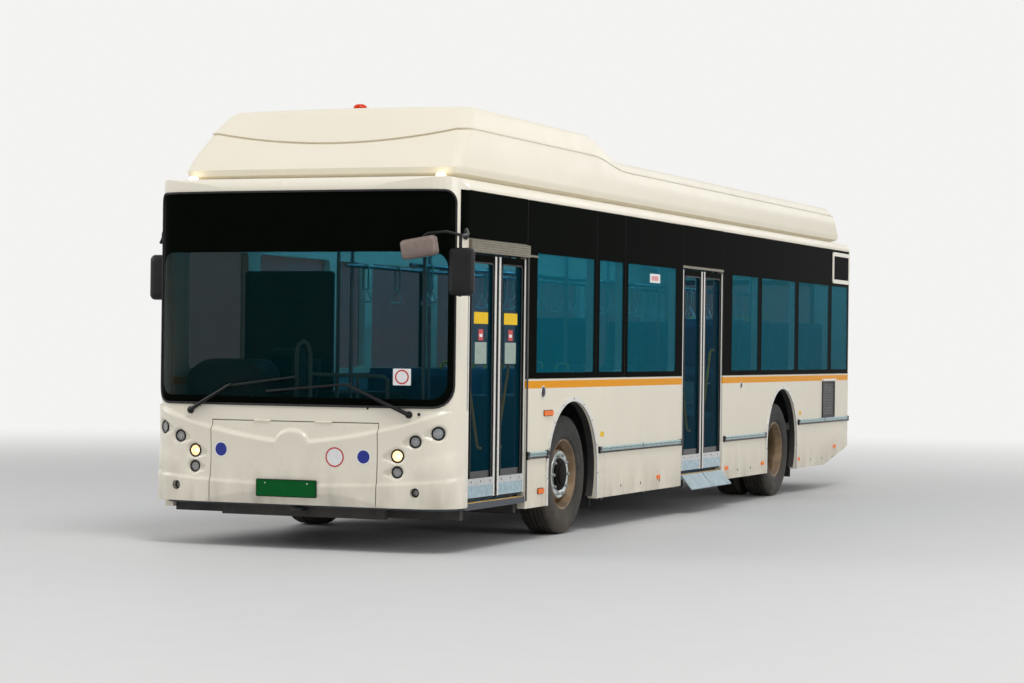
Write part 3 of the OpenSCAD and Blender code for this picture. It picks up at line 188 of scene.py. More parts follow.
class Build:
    """Collects the faces of one piece, makes its object and starts on the next."""

    def __init__(self):
        self.bm = bmesh.new()
        self.finishes = []

    def faces(self, points, faces, finish):
        if finish not in self.finishes:
            self.finishes.append(finish)
        index = self.finishes.index(finish)
        verts = [self.bm.verts.new([v / MM for v in p]) for p in points]
        for f in faces:
            try:
                self.bm.faces.new([verts[i] for i in f]).material_index = index
            except ValueError:
                pass

    def box(self, lo, hi, finish):
        pts = [(x, y, z) for x in (lo[0], hi[0]) for y in (lo[1], hi[1]) for z in (lo[2], hi[2])]
        quads = [(0, 1, 3, 2), (4, 6, 7, 5), (0, 4, 5, 1), (2, 3, 7, 6), (0, 2, 6, 4), (1, 5, 7, 3)]
        self.faces(pts, quads, finish)

    def prism(self, outline, place, depth, finish):
        """A flat outline, put in space by place(a, b, d), between depths d 0 and depth."""
        n = len(outline)
        pts = [place(a, b, d) for d in (0, depth) for a, b in outline]
        faces = [tuple(range(n))[::-1], tuple(range(n, 2 * n))]
        faces += [(i, (i + 1) % n, n + (i + 1) % n, n + i) for i in range(n)]
        self.faces(pts, faces, finish)

    def tube(self, path, radius, finish, sides=12, closed=False):
        path = [Vector(p) for p in path]
        n = len(path)
        normal = None
        rings = []
        for i, p in enumerate(path):
            if closed:
                d = (path[(i + 1) % n] - path[i - 1]).normalized()
            else:
                d = (path[min(i + 1, n - 1)] - path[max(i - 1, 0)]).normalized()
            if normal is None:
                normal = d.orthogonal().normalized()
            normal = (normal - d * normal.dot(d)).normalized()
            side = d.cross(normal)
            r = radius[i] if isinstance(radius, list) else radius
            rings.append([p + normal * a + side * c for a, c in ring(r, sides)])
        self.loft(rings, finish, closed)

    def loft(self, rings, finish, closed=False, caps=True):
        m = len(rings[0])
        count = len(rings)
        faces = []
        for k in range(count if closed else count - 1):
            a, b = k * m, (k + 1) % count * m
            faces += [(a + i, a + (i + 1) % m, b + (i + 1) % m, b + i) for i in range(m)]
        if caps and not closed:
            faces += [tuple(range(m))[::-1], tuple(range((count - 1) * m, count * m))]
        self.faces([p for line in rings for p in line], faces, finish)

    def lathe(self, profile, centre, axis, finish, turns=48):
        """Turns (radius, height) points about an axis through centre."""
        axis = Vector(axis).normalized()
        u = axis.orthogonal().normalized()
        v = axis.cross(u)
        centre = Vector(centre)
        rings = [[centre + axis * h + (u * a + v * c) * max(r, 0.01) for r, h in profile]
                 for a, c in ring(1, turns)]
        self.loft(rings, finish, closed=True)

    def sheet(self, us, vs, place, finish, keep=None, holes=(), flat=None, wrap=False):
        """A closed skin between place(a, b, 0) and place(a, b, 1), open where keep says no and at the round
        holes (a, b, radius), whose edges are drawn onto their circles; flat(u, v) gives (a, b)."""
        flat = flat or (lambda u, v: (u, v))
        count = len(us)
        pos = {(i, j): flat(u, v) for i, u in enumerate(us) for j, v in enumerate(vs)}
        kept, near = [], {}
        for i in range(count if wrap else count - 1):
            for j in range(len(vs) - 1):
                k = (i + 1) % count
                cell = ((i, j), (k, j), (k, j + 1), (i, j + 1))
                mid = [sum(pos[c][axis] for c in cell) / 4 for axis in (0, 1)]
                hole = next((h for h in holes if math.dist(mid, h[:2]) < h[2]), None)
                if hole:
                    near.update((c, hole) for c in cell)
                elif keep is None or keep(*mid):
                    kept.append(cell)
        used = sorted({c for cell in kept for c in cell})
        for c in used:
            if c in near:
                a, b, r = near[c]
                scale = r / math.dist(pos[c], (a, b))
                pos[c] = (a + (pos[c][0] - a) * scale, b + (pos[c][1] - b) * scale)
        index = {c: n for n, c in enumerate(used)}
        n = len(used)
        points = [place(*pos[c], layer) for layer in (0, 1) for c in used]
        quads = [tuple(index[c] for c in cell) for cell in kept]
        edges = {(q[m], q[(m + 1) % 4]) for q in quads for m in range(4)}
        faces = quads + [tuple(i + n for i in reversed(q)) for q in quads]
        faces += [(b, a, a + n, b + n) for a, b in sorted(edges) if (b, a) not in edges]
        self.faces(points, faces, finish)

    def band(self, outer, inner, place, depth, finish, rows=1):
        """A plate between two outlines with as many points each."""
        lines = [[((1 - t) * p[0] + t * q[0], (1 - t) * p[1] + t * q[1]) for p, q in zip(outer, inner)]
                 for t in even(0, 1, rows)]
        loops = [[place(a, b, 0) for a, b in line] for line in lines]
        loops += [[place(a, b, depth) for a, b in line] for line in reversed(lines)]
        self.loft(loops, finish, closed=True)

    def pane(self, w, h, r, place, depth, finish, columns=2, rows=2):
        """A plate with round corners about (0, 0), on a grid so that it can follow a curved surface."""
        corner = [(r * (1 - math.cos(a)), r * (1 - math.sin(a))) for a in even(0, math.pi / 2, 6)]
        low = [(-h / 2 + a, w / 2 - b) for a, b in corner]
        middle = [(-h / 2 + r + (h - 2 * r) * k / rows, w / 2) for k in range(1, rows)]
        lines = low + middle + [(-a, b) for a, b in reversed(low)]
        self.sheet(range(columns + 1), range(len(lines)), lambda a, b, layer: place(a, b, depth * layer),
                   finish, flat=lambda u, v: (lines[v][1] * (2 * u / columns - 1), lines[v][0]))

    def done(self, name, body="body", bevel=0, angle=35, replaces=()):
        bmesh.ops.remove_doubles(self.bm, verts=self.bm.verts, dist=2e-5)
        bmesh.ops.recalc_face_normals(self.bm, faces=self.bm.faces)
        mesh = self.mesh(name)
        for finish in self.finishes:
            mesh.materials.append(M[finish])
        piece = placed(name, mesh)
        mesh.shade_smooth()
        mesh.set_sharp_from_angle(angle=math.radians(angle))
        if bevel:
            soft_edges(piece, bevel)
        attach(piece, body)
        if replaces:
            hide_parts(*replaces)
        self.__init__()
        return piece

    def mesh(self, name):
        mesh = bpy.data.meshes.new(name)
        self.bm.to_mesh(mesh)
        self.bm.free()
        return mesh


# Materials
M = {}
# share and the two colours of a Mix node
BLEND_SOCKETS = (0, 6, 7)


def node(tree, kind, inputs, out=0, **settings):
    """A shader node whose inputs are set or linked; gives one of its outputs."""
    made = tree.nodes.new("ShaderNode" + kind)
    for key, value in settings.items():
        setattr(made, key, value)
    for key, value in inputs.items():
        if isinstance(value, bpy.types.NodeSocket):
            tree.links.new(value, made.inputs[key])
        else:
            made.inputs[key].default_value = value
    return made.outputs[out] if made.outputs else None


def ramp(tree, source, a, b, low=0, high=1, kind="LINEAR"):
    """The source's values from a to b, spread from low to high."""
    inputs = {"From Min": a, "From Max": b, "To Min": low, "To Max": high, "Value": source}
    return node(tree, "MapRange", inputs, interpolation_type=kind)


def material(name, color, rough=0.4, metal=0, tint=0.12, scale=8, bump=0, bump_scale=300, coat=0, alpha=1,
             ior=1.5, dirt=None, glow=None, stripe=None):
    """A finish with mottled colour, uneven gloss and fine relief; heights are in metres. tint is how far the
    colour wanders; dirt is (colour, low z, high z, amount), stripe (colour, low z, high z) and glow (colour,
    strength)."""
    M[name] = made = bpy.data.materials.new(name)
    made.use_nodes = True
    tree = made.node_tree
    tree.nodes.clear()
    where = node(tree, "TexCoord", {}, "Object")

    def noise(size, detail=4, at=where):
        return node(tree, "TexNoise", {"Scale": size, "Detail": detail, "Vector": at}, "Fac")

    def mix(*values):
        inputs = {key: (*v, 1) if isinstance(v, tuple) else v for key, v in zip(BLEND_SOCKETS, values)}
        return node(tree, "Mix", inputs, 2, data_type="RGBA")

    def times(a, b):
        return node(tree, "Math", {0: a, 1: b}, operation="MULTIPLY")

    dark = tuple(v * (1 - tint) for v in color)
    light = tuple(min(1, v * (1 + tint * 0.6)) for v in color)
    shade = mix(ramp(tree, noise(scale), 0.3, 0.7), dark, light)
    gloss = ramp(tree, noise(scale * 3), 0.3, 0.7, rough * 0.85, min(1, rough * 1.15))
    height = node(tree, "SeparateXYZ", {0: where}, "Z")
    if stripe:
        hue, foot, top = stripe
        edge = 0.0006
        above = ramp(tree, height, foot - edge, foot + edge)
        below = ramp(tree, height, top - edge, top + edge, 1, 0)
        shade = mix(times(above, below), shade, hue)
    if dirt:
        hue, foot, top, amount = dirt
        streaks = node(tree, "VectorMath", {0: where, 1: (1, 1, 0.35)}, operation="MULTIPLY")
        film = times(ramp(tree, noise(5, 8, streaks), 0.35, 0.75), ramp(tree, height, foot, top, amount, 0))
        shade = mix(film, shade, hue)
        gloss = mix(film, gloss, (0.75, 0.75, 0.75))
    inputs = {"Base Color": shade, "Roughness": gloss, "Metallic": metal, "IOR": ior, "Coat Weight": coat,
              "Coat Roughness": 0.06, "Alpha": alpha}
    if glow:
        inputs.update({"Emission Color": (*glow[0], 1), "Emission Strength": glow[1]})
    if bump:
        relief = {"Strength": bump, "Distance": 0.002, "Height": noise(bump_scale, 2)}
        inputs["Normal"] = node(tree, "Bump", relief)
    node(tree, "OutputMaterial", {"Surface": node(tree, "BsdfPrincipled", inputs)})


GRIME = srgb(96, 84, 66)
CREAM = srgb(238, 231, 214)
# name, colour, roughness, metal, tint and its scale, relief and its scale
material("paint", CREAM, 0.24, 0, 0.02, 2, coat=0.3, dirt=(GRIME, 0.3, 0.75, 0.55))
material("wall", CREAM, 0.22, 0, 0.02, 2, ior=1.1, dirt=(GRIME, 0.27, 0.6, 0.4),
         stripe=((0.86, 0.34, 0), 1.236, 1.298))
material("roof", srgb(236, 229, 211), 0.4, 0, 0.02, 1.5, 0.05, 60, ior=1.3)
material("chassis", (0.02, 0.02, 0.021), 0.6, 0, 0.4, 12, 0.4, 90, dirt=(srgb(90, 80, 66), 0, 1.2, 0.6))
material("black", (0.012, 0.012, 0.013), 0.35, 0, 0.3, 8, 0.15, 500, ior=1.3)
material("gloss", (0.0025, 0.0035, 0.0025), 0.05, 0, 0.1, ior=1.025)
material("rubber", (0.012, 0.012, 0.012), 0.7, 0, 0.3, 8, 0.3, 250)
material("metal", srgb(206, 208, 208), 0.3, 1, 0.1, 20, 0.08, 120)
material("rail", srgb(150, 176, 178), 0.28, 1, 0.15, 10, 0.1)
material("header", srgb(120, 113, 95), 0.42, 0.4, 0.12, 14, 0.1)
material("lens_warm", (1, 0.9, 0.7), 0.08, 0, 0.02, alpha=0.25, glow=((1, 0.8, 0.5), 0.25))
material("glazing", srgb(0, 50, 66), 0.03, 0, 0.05, alpha=0.48, ior=1.03)
material("kick", srgb(176, 200, 210), 0.22, 1, 0.2, 30, 0.2)
material("dark_pane", (0.012, 0.012, 0.014), 0.3, 0, 0.3, 40)
material("edge", srgb(226, 224, 218), 0.3, 0.3, 0.08, 30, 0.06)
material("bright", srgb(206, 214, 214), 0.3, 0.9, 0.15, 60, 0.2)
material("nut", srgb(176, 182, 180), 0.35, 0.8, 0.3, 80, 0.2)
# the hub's near-black colour is painted shade, the dark of a deep wheel middle; the brown film on it is dirt
material("hub", (0.006, 0.005, 0.004), 0.55, 0, 0.4, 40, 0.3, ior=1.15, dirt=(srgb(70, 56, 40), 0, 1, 0.12))
material("chrome", srgb(128, 118, 104), 0.16, 1, 0.35, 60, 0.2)
material("bowl", srgb(255, 226, 176), 0.25, 0.8, 0.1, glow=((1, 0.78, 0.45), 0.5))
material("cast", srgb(92, 86, 80), 0.6, 0.6, 0.4, 30, 0.5, 80)
material("tyre", (0.022, 0.021, 0.02), 0.78, 0, 0.35, 15, 0.35, 160, dirt=(srgb(110, 98, 80), 0, 0.9, 0.45))
material("rim", srgb(126, 104, 78), 0.42, 0.3, 0.35, 12, 0.2, 90, dirt=(srgb(88, 70, 48), 0, 1, 0.6))
material("deck", srgb(70, 76, 84), 0.6, 0, 0.5, 120, 0.2)
material("lining", srgb(128, 164, 170), 0.55, 0, 0.08, 8, 0.12, 200)
material("dash", srgb(34, 35, 38), 0.55, 0, 0.2, 8, 0.5, 700)
material("shell", srgb(50, 82, 112), 0.4, 0, 0.15, 8, 0.1)
material("fabric", srgb(34, 58, 92), 0.9, 0, 0.45, 90, 0.7, 900)
material("yellow", srgb(240, 196, 0), 0.4, 0, 0.08, 8, 0.05, ior=1.2)
material("tube", srgb(150, 170, 162), 0.35, 0, 0.08, 8, 0.05, coat=0.3)
material("board", srgb(26, 40, 44), 0.5, 0, 0.2, 30, 0.1)
material("pole", srgb(170, 190, 200), 0.25, 1, 0.1, 40)
material("pane", srgb(0, 92, 108), 0.03, 0, 0.05, alpha=0.66, ior=1.03)
material("screen", srgb(0, 30, 32), 0.03, 0, 0.05, alpha=0.5, ior=1.1)
material("clear", (0.9, 0.93, 0.95), 0.04, 0, 0.02, alpha=0.22)
material("lit", (1, 0.85, 0.6), 0.1, 0, 0.02, glow=((1, 0.86, 0.6), 3))
material("amber", srgb(236, 104, 4), 0.2, 0, 0.15, 60, 0.3, 220, ior=1.25, glow=((1, 0.3, 0.02), 0.12))
material("red", srgb(176, 20, 16), 0.15, 0, 0.15, 60, 0.3, 220, coat=0.5)
material("beacon", srgb(222, 62, 8), 0.2, 0, 0.15, 8, 0.2, 120, ior=1.25)
material("plate", srgb(0, 88, 36), 0.45, 0, 0.08, 8, 0.05, ior=1.2)
material("blue", srgb(18, 40, 140), 0.4, 0, 0.06, 40)
material("white", srgb(236, 236, 236), 0.4, 0, 0.05, 30)
material("redfilm", srgb(196, 32, 34), 0.4, 0, 0.06, 40)
material("rose", srgb(222, 150, 150), 0.5, 0, 0.1, 60)
material("pale", srgb(150, 168, 158), 0.5, 0, 0.15, 30)
material("strip", (0.55, 0.9, 1), 0.4, 0, 0.02, glow=((0.1, 0.62, 1), 16))
material("cover", srgb(128, 112, 104), 0.4, 0, 0.12, 30, 0.2, 400)
material("mirror", (0.9, 0.9, 0.92), 0.02, 1, 0.02)
material("guard", srgb(168, 184, 190), 0.6, 0.3, 0.15, 6, 0.1, ior=1.2)
material("gold", srgb(200, 160, 80), 0.35, 0.8, 0.2, 40, 0.3)

# The CAD nodes' finish and the width of their soft edges
for finish, width, names in (
        ("chassis", 3, "underframe cross_members drive_motor wheel_housings"),
        ("cast", 3, "front_axle rear_axle knuckle_left knuckle_right"), ("deck", 3, "floor_deck floor_steps"),
        ("wall", 2, "left_wall right_wall"), ("paint", 4, "nose_panel tail_panel rear_hatch"),
        ("paint", 2, "front_hatch"), ("roof", 0, "roof_panel"), ("rubber", 2, "mudflaps"),
        ("cast", 2, " ".join(n for n in NODES if n.endswith("_post"))), ("header", 3, "door_headers"),
        ("guard", 1.5, "step_guards"), ("edge", 1.5, "arch_trims"), ("pole", 0, "grab_rails grab_poles"),
        ("dash", 4, "dashboard"), ("amber", 3, "marker_lamps")):
    for name in names.split():
        for slot in NODES[name].material_slots:
            slot.material = M[finish]
        if width:
            soft_edges(NODES[name], width)

# Nose: a skin whose crest and lower ledge stand out over the panel and its hatch
screen_foot, screen_head, screen_w = 1105, 2740, 2510
skin_foot, skin_top, skin_t = 343, 1082, 6
hatch_half, hatch_top, seam_w = 706, 975, 8
corner_end = flat_s + corner_s
LAMPS = [(side_y - a, z, r) for a, z, r in ((130, 910, 50), (295, 845, 46), (435, 735, 50), (435, 612, 44),
                                            (285, 462, 34))]
LEAN = ((340, -36), (430, -8), (560, 0), (1105, 0), (2740, -24), (3000, -24))
b = Build()


def nose_lean(z, s):
    """How far the side profile of the nose cuts into its plan at that height and arc distance."""
    lean = LEAN[-1][1]
    for (z0, x0), (z1, x1) in zip(LEAN, LEAN[1:]):
        if z <= z1:
            lean = x0 + (x1 - x0) * max(0, (z - z0) / (z1 - z0))
            break
    p, a = nose_arc(s)
    return -max(0, p.x - nose_x - lean) * math.cos(a)


def nose_point(s, z, out):
    """A place over the leaning nose and the direction that it faces there."""
    p, a = nose_arc(s, nose_lean(z, s) + out)
    return Vector((p.x, p.y, z)), Vector((math.cos(a), math.sin(a), 0))


def crest_z(y):
    base = 820 + 0.06 * y + 0.00012 * y * y
    return max(base, 810 + 105 * math.sqrt(1 - (y / 142) ** 2)) if y < 142 else base


def pocket(dy, dz):
    """How deep the almond pocket round a lamp is at that place, in lamp radii from its middle."""
    tail = (-0.78 - dy) / 1.52
    if tail > 0:
        top, foot = 1.11 - 1.21 * tail, -1.11 + 0.61 * tail
        reach = abs(dz - (top + foot) / 2) / ((top - foot) / 2) if tail < 0.98 else 2
        return 1 - smooth(0.72, 0.96, max(reach, smooth(0.5, 1, tail) * 0.97))
    return 1 - smooth(0.95, 1.32, math.hypot(dy, dz))


def skin_out(s, z):
    """Relief of the nose skin over the plain nose."""
    y = abs(s)
    crest, ledge = crest_z(y), 500 + 0.000035 * y * y
    step = smooth(crest + 14, crest - 14, z) if z < crest + 14 else 0
    belly = math.sin(math.pi * min(1, max(0, (crest - z) / (crest - ledge)))) if z > ledge else 0
    lip = 1 - smooth(ledge - 12, ledge + 10, z)
    crease_z = 709 + 0.22 * (y - 930)
    crease = smooth(930, 1100, y) * (1 - smooth(crease_z - 90, crease_z, z)) * smooth(ledge, ledge + 100, z)
    relief = 29 * step - 11 * belly * step + 12 * lip + 7 * crease
    dish = max(pocket((y - arc_s(ly)) / r, (z - lz) / r) for ly, lz, r in LAMPS[:4])
    turned = flat_a + (y - flat_s) / CORNER_R if y > flat_s else y / NOSE_R
    return 2 + (relief - 21 * dish) * math.cos(min(math.pi / 2, turned))


def skin_point(s, z, layer):
    return nose_point(s, z, skin_out(s, z) - layer * skin_t)[0]


def on_nose(y, z, lift=0):
    """A place on the nose skin and the direction it faces there."""
    s = arc_s(y)
    return nose_point(s, z, skin_out(s, z) + lift)


def stuck(y, z, lift):
    return lambda a, c, d: on_nose(y + a, z + c, lift - d)[0]


half_us = [hatch_half, hatch_half + seam_w, corner_end + 30]
skin_us = grid_lines([-u for u in reversed(half_us)] + half_us, 12)
skin_vs = grid_lines([skin_foot, hatch_top, hatch_top + seam_w, skin_top], 11)
holes = [(s * arc_s(y), z, r + 3) for s in (1, -1) for y, z, r in LAMPS]
b.sheet(skin_us, skin_vs, skin_point, "paint", holes=holes,
        keep=lambda s, z: abs(s) > hatch_half + seam_w or z > hatch_top + seam_w)
b.done("nose_skin", angle=50)
b.sheet(skin_us, skin_vs, skin_point, "paint", keep=lambda s, z: abs(s) < hatch_half and z < hatch_top)
b.done("hatch_skin", "front_hatch", angle=50)
for side, s in SIDES:
    for k, (y, z, r) in enumerate(LAMPS):
        at = nose_point(arc_s(s * y), z, 4)
        bowl, bulb, lens = ("bowl", "lit", "lens_warm") if k == 2 else ("chrome", "chrome", "clear")
        b.lathe([(r + 2, -30), (r + 2, 1), (r - 3, 4), (r - 10, 1), (r - 12, -30)], *at, "black", 64)
        b.lathe([(r - 10, -2), (r * 0.72, -20), (r * 0.45, -32), (r * 0.2, -37), (0, -37), (0, -42),
                 (r * 0.25, -42), (r * 0.5, -37), (r * 0.8, -24), (r - 8, -6)], *at, bowl, 64)
        b.lathe([(0, -38), (9, -36), (12, -26), (8, -16), (0, -13)], *at, bulb, 32)
        b.lathe([(0, 1), (r * 0.5, 0), (r - 11, -2), (r - 11, -5), (0, -3)], *at, lens, 64)
    b.done("lamps_" + side, replaces=["headlamps"] if s > 0 else (), angle=40)

# Blank plate, stickers and seals on the nose
left, right, foot, top = -283, 223, 406, 529
plate_w, plate_h = right - left, top - foot
plate_x = max(on_nose(y, z)[0].x for y in (left, 0, right) for z in even(foot, top, 6))
on_plate = plane(plate_x + 8, (left + right) / 2, (foot + top) / 2, "y z -x")
b.pane(plate_w, plate_h, 10, on_plate, 3, "plate")
for grow, r, shrink, inner_r, deep, t, finish in ((-6, 9, -16, 6, -1.2, 2, "plate"),
                                                  (12, 12, -10, 8, 2.5, 5, "black")):
    b.band(rounded(plate_w + grow, plate_h + grow, r), rounded(plate_w + shrink, plate_h + shrink, inner_r),
           moved(on_plate, d=deep), t, finish)
for a in (-180, 180):
    b.lathe([(0, 2), (4, 1.8), (6, 0), (0, -1)], on_plate(a, 38, -0.5), X, "metal", 16)
for y, z, r, rim, middle in ((-617, 751, 60, "white", "blue"), (599, 723, 58, "white", "blue"),
                             (364, 716, 75, "redfilm", "white")):
    b.band(ring(r), ring(r * 0.86), stuck(y, z, 1.6), 1, rim)
    b.band(ring(r * 0.88), ring(0.5), stuck(y, z, 1.3), 1, middle, rows=3)
b.done("nose_stickers", "front_hatch", angle=50)
notice = (892, 1332)
b.pane(142, 126, 6, stuck(*notice, 1.6), 1, "white", 4, 3)
b.band(ring(55), ring(44), stuck(*notice, 2.2), 1, "redfilm")
for y in (-830, 620):
    b.lathe([(0, 6), (6, 5), (9, 0), (0, -2)], *on_nose(y, 1090, 1), "black", 16)
b.done("screen_notice")

# Windscreen: a clear pane in a printed black border with a deep top band, held by a rubber
screen_mid, screen_h = (screen_foot + screen_head) / 2, screen_head - screen_foot
screen_half = arc_s(screen_w / 2)
clear_foot, clear_head, clear_r = 1165, 2277, 130
clear_w, clear_h = 2 * (screen_half - 55), clear_head - clear_foot
clear_c = (clear_foot + clear_head) / 2 - screen_mid


def on_screen(a, c, d):
    return nose_point(a, screen_mid + c, 2.5 - d)[0]


def screen_outline(grow):
    return rounded(2 * screen_half + grow, screen_h + grow, 95, edge=40, foot_r=170)


b.band(screen_outline(0), rounded(clear_w, clear_h, clear_r, edge=40, at=(0, clear_c)), on_screen, 7, "gloss",
       rows=4)
b.pane(clear_w, clear_h, clear_r, moved(on_screen, b=clear_c), 6, "screen", 60, 8)
b.done("screen_glass", replaces=["windscreen"], angle=50)
b.tube([on_screen(x, y, -2) for x, y in screen_outline(4)], 9, "rubber", 10, True)
b.done("screen_rubber")

# Side panes: flush glass with a printed border round each clear opening
tint_z, waist_z = 2333, 1310
pane_foot, pane_head, clear_foot = waist_z + 5, cant_z - 5, waist_z + 55
glass_t = 8
front_bay, rear_bay = front_door[1] - mid_door[0], mid_door[1] - wall_rear
front_seams = [front_door[1] - share * front_bay for share in (0.405, 0.59)]
rear_seams = [mid_door[1] - share * rear_bay for share in (0.257, 0.545, 0.828)]
right_stops = (nose_x - 1620, mid_door[0] + 130, mid_door[1] - 226)
# a run of panes: the seams from front to rear, the width of the print at its two ends
LEFT_PANES = (([front_door[1], *front_seams, mid_door[0]], 220, 220),
              ([mid_door[1], *rear_seams, wall_rear], 300, 76))
RIGHT_PANES = (([wall_front, right_stops[0]], wall_front - nose_x + 560, 60),
               ([right_stops[0], *front_seams, right_stops[1]], 220, 220), (right_stops[1:], 76, 76),
               ([right_stops[2], *rear_seams, wall_rear], 300, 76))


def side_pane(s, x1, x0, fore, aft):
    """The pane between two seams, with its print that wide ahead of and behind the clear part."""
    c1, c0 = min(x1 - fore, x1 - 35), max(x0 + aft, x0 + 35)
    mid_x, mid_z = (x1 + x0) / 2, (pane_foot + pane_head) / 2
    a, c = (c1 + c0) / 2 - mid_x, (clear_foot + tint_z) / 2 - mid_z
    w, h = c1 - c0, tint_z - clear_foot
    place = plane(mid_x, side_y, mid_z, "x z -y", s)
    b.band(rounded(x1 - x0 - 10, pane_head - pane_foot, 8), rounded(w, h, 12, at=(a, c)), place, glass_t,
           "gloss")
    b.pane(w, h, 12, moved(place, a, c), glass_t * 0.7, "pane")


for side, s, runs in (("left", 1, LEFT_PANES), ("right", -1, RIGHT_PANES)):
    for stops, first, last in runs:
        final = len(stops) - 2
        for k, (x1, x0) in enumerate(zip(stops, stops[1:])):
            side_pane(s, x1, x0, 76 if k else first, 76 if k < final else last)
    for x in sorted({x for run in runs for x in run[0]}):
        y = s * (side_y - glass_t * 0.6)
        b.box((x - 8, y - 3, pane_foot), (x + 8, y + 3, pane_head), "rubber")
    if s > 0:
        for x1, x0, foot in ((*front_door, 2395), (*mid_door, 2375)):
            b.box((x0 + 5, side_y - glass_t, foot), (x1 - 5, side_y, pane_head), "gloss")
    b.done("panes_" + side, replaces=["window_glass"] if s > 0 else (), angle=30)
tail_w, tail_h = 1760, 720
on_tail = plane(tail_x, 0, 2060, "y z x")
b.band(rounded(tail_w, tail_h, 30), rounded(tail_w - 140, tail_h - 120, 50), on_tail, glass_t, "gloss")
b.pane(tail_w - 140, tail_h - 120, 50, on_tail, glass_t * 0.7, "pane")
b.done("rear_window")

# Roof fairing: smooth rings up from the roof, with a hump over the front. A ring has its setback, half width,
# corner radius, height behind, height over the hump and dip towards the sides
RINGS = [(60, 1110, 100, 2850, 2850, 0), (50, 1125, 90, 2874, 2874, 0), (0, 1182, 90, 2894, 2894, 0),
         (-6, 1192, 90, 2940, 2940, 0), (120, 1176, 100, 3080, 3080, 40), (322, 1140, 100, 3172, 3258, 97),
         (304, 1147, 100, 3176, 3266, 95), (326, 1124, 100, 3188, 3286, 88), (530, 1060, 100, 3262, 3440, 0),
         (610, 975, 90, 3270, 3448, 0)]
# how many steps lie between two rings
PARTS = (1, 1, 2, 6, 8, 1, 1, 8, 5)
fairing_nose, fairing_tail = nose_x - 335, tail_x + 90
hump_end, hump_foot = nose_x - 3480, nose_x - 4400
BOW = 45


def ring_at(t):
    """The ring at t, smooth between the rings where the fairing has no crease."""
    k = min(int(t), len(RINGS) - 2)
    u = t - k
    a, c = RINGS[k], RINGS[k + 1]
    if k not in (3, 4, 7, 8):
        return [p + (q - p) * u for p, q in zip(a, c)]
    before, after = RINGS[k - 1] if k in (4, 8) else a, RINGS[k + 2] if k in (3, 7) else c
    h00, h10 = 2 * u**3 - 3 * u**2 + 1, u**3 - 2 * u**2 + u
    h01, h11 = 3 * u**2 - 2 * u**3, u**3 - u**2
    return [h00 * p + h10 * (q - o) / 2 + h01 * q + h11 * (r - p) / 2
            for o, p, q, r in zip(before, a, c, after)]


def fairing_ring(t):
    """A whole ring, from the middle of the nose round the left side, the tail and the right side."""
    back, w, c, low_z, high_z, dip = ring_at(t)
    x1, x0 = fairing_nose - back, fairing_tail + min(back, 60) * 0.8
    k = BOW * ((w - c) / w) ** 2
    line = [(x1 - BOW * (y / w) ** 2, y) for y in even(0, w - c, 10)]
    line += [(x1 - k - c + c * math.cos(a), w - c + c * math.sin(a)) for a in even(0, math.pi / 2, 12)[1:]]
    line += [(x, w) for x in even(hump_end + 250, hump_foot - 250, 24) + even(hump_foot - 400, x0 + 400, 12)]
    line += [(x0 + 120 - 120 * math.sin(a), w - 120 + 120 * math.cos(a)) for a in even(0, math.pi / 2, 6)]
    line += [(x0 - 15 * (1 - (y / w) ** 2), y) for y in even(w - 300, 0, 7)]
    half = []
    for x, y in line:
        z = low_z + (high_z - low_z) * smooth(hump_foot, hump_end, x)
        if x > hump_end:
            z -= dip * max(0, 1 - (y / (w - c)) ** 2)
        half.append(Vector((x, y, z)))
    return half + [Vector((p.x, -p.y, p.z)) for p in reversed(half[1:-1])]


rings = [fairing_ring(t) for t in [0] + [k + (i + 1) / n for k, n in enumerate(PARTS) for i in range(n)]]
size, columns = len(rings[0]), 8
rows = (size + 2) // 2
b.loft(rings, "roof", caps=False)
for line, up in ((rings[-1], 20), (rings[0], 0)):
    pts = []
    for i in range(rows):
        left, right = line[i], line[(size - i) % size]
        for t in even(0, 1, columns):
            rise = up * (1 - (2 * t - 1) ** 2) * min(1, abs(left.y) / MM)
            pts.append(left.lerp(right, t) + Vector((0, 0, rise)))
    corners = [i * (columns + 1) + k for i in range(rows - 1) for k in range(columns)]
    b.faces(pts, [(c, c + columns + 1, c + columns + 2, c + 1) for c in corners], "roof")
b.done("fairing_shell", replaces=["roof_fairing"], angle=40)

# Flashing lamp on the hump, lamps on the roof's front edge, black print on the corners over the front doorway
lamp_at = (nose_x - 1250, -60, low("beacon").z + 12)
ribs = [(56 - 1.5 * (k % 2), 20 + 3 * k) for k in range(12)]
b.lathe([(0, 0), (74, 0), (74, 8), (68, 16), (60, 18), (0, 18)], lamp_at, Z, "black")
b.lathe([(0, 18), (56, 18), *ribs, (52, 60), (42, 70), (24, 76), (0, 77)], lamp_at, Z, "beacon")
b.done("beacon_lamp", replaces=["beacon"])
for s in (1, -1):
    at = (wall_front + 20, s * 1070, roof_z + 1)
    b.lathe([(0, 0), (50, 0), (50, 5), (42, 8), (0, 8)], at, Z, "black", 32)
    b.lathe([(0, 8), (39, 8), (39, 20), (32, 34), (16, 41), (0, 42)], at, Z, "lit", 32)
b.done("roof_front_lamps")
for s in (1, -1):
    heights = [2390 if s > 0 else waist_z, 2600, cant_z - 5]
    b.sheet(steps(corner_end - 115, corner_end, 12), heights,
            lambda a, z, layer: (*nose_arc(s * a, 1.5 - layer)[0], z), "gloss")
b.done("corner_prints", angle=50)

# Doors: each leaf has a light frame round a tall pane, a kick plate and rubber edges
leaf_y, leaf_t, stile_w, rubber = side_y - 10, 40, 82, 14
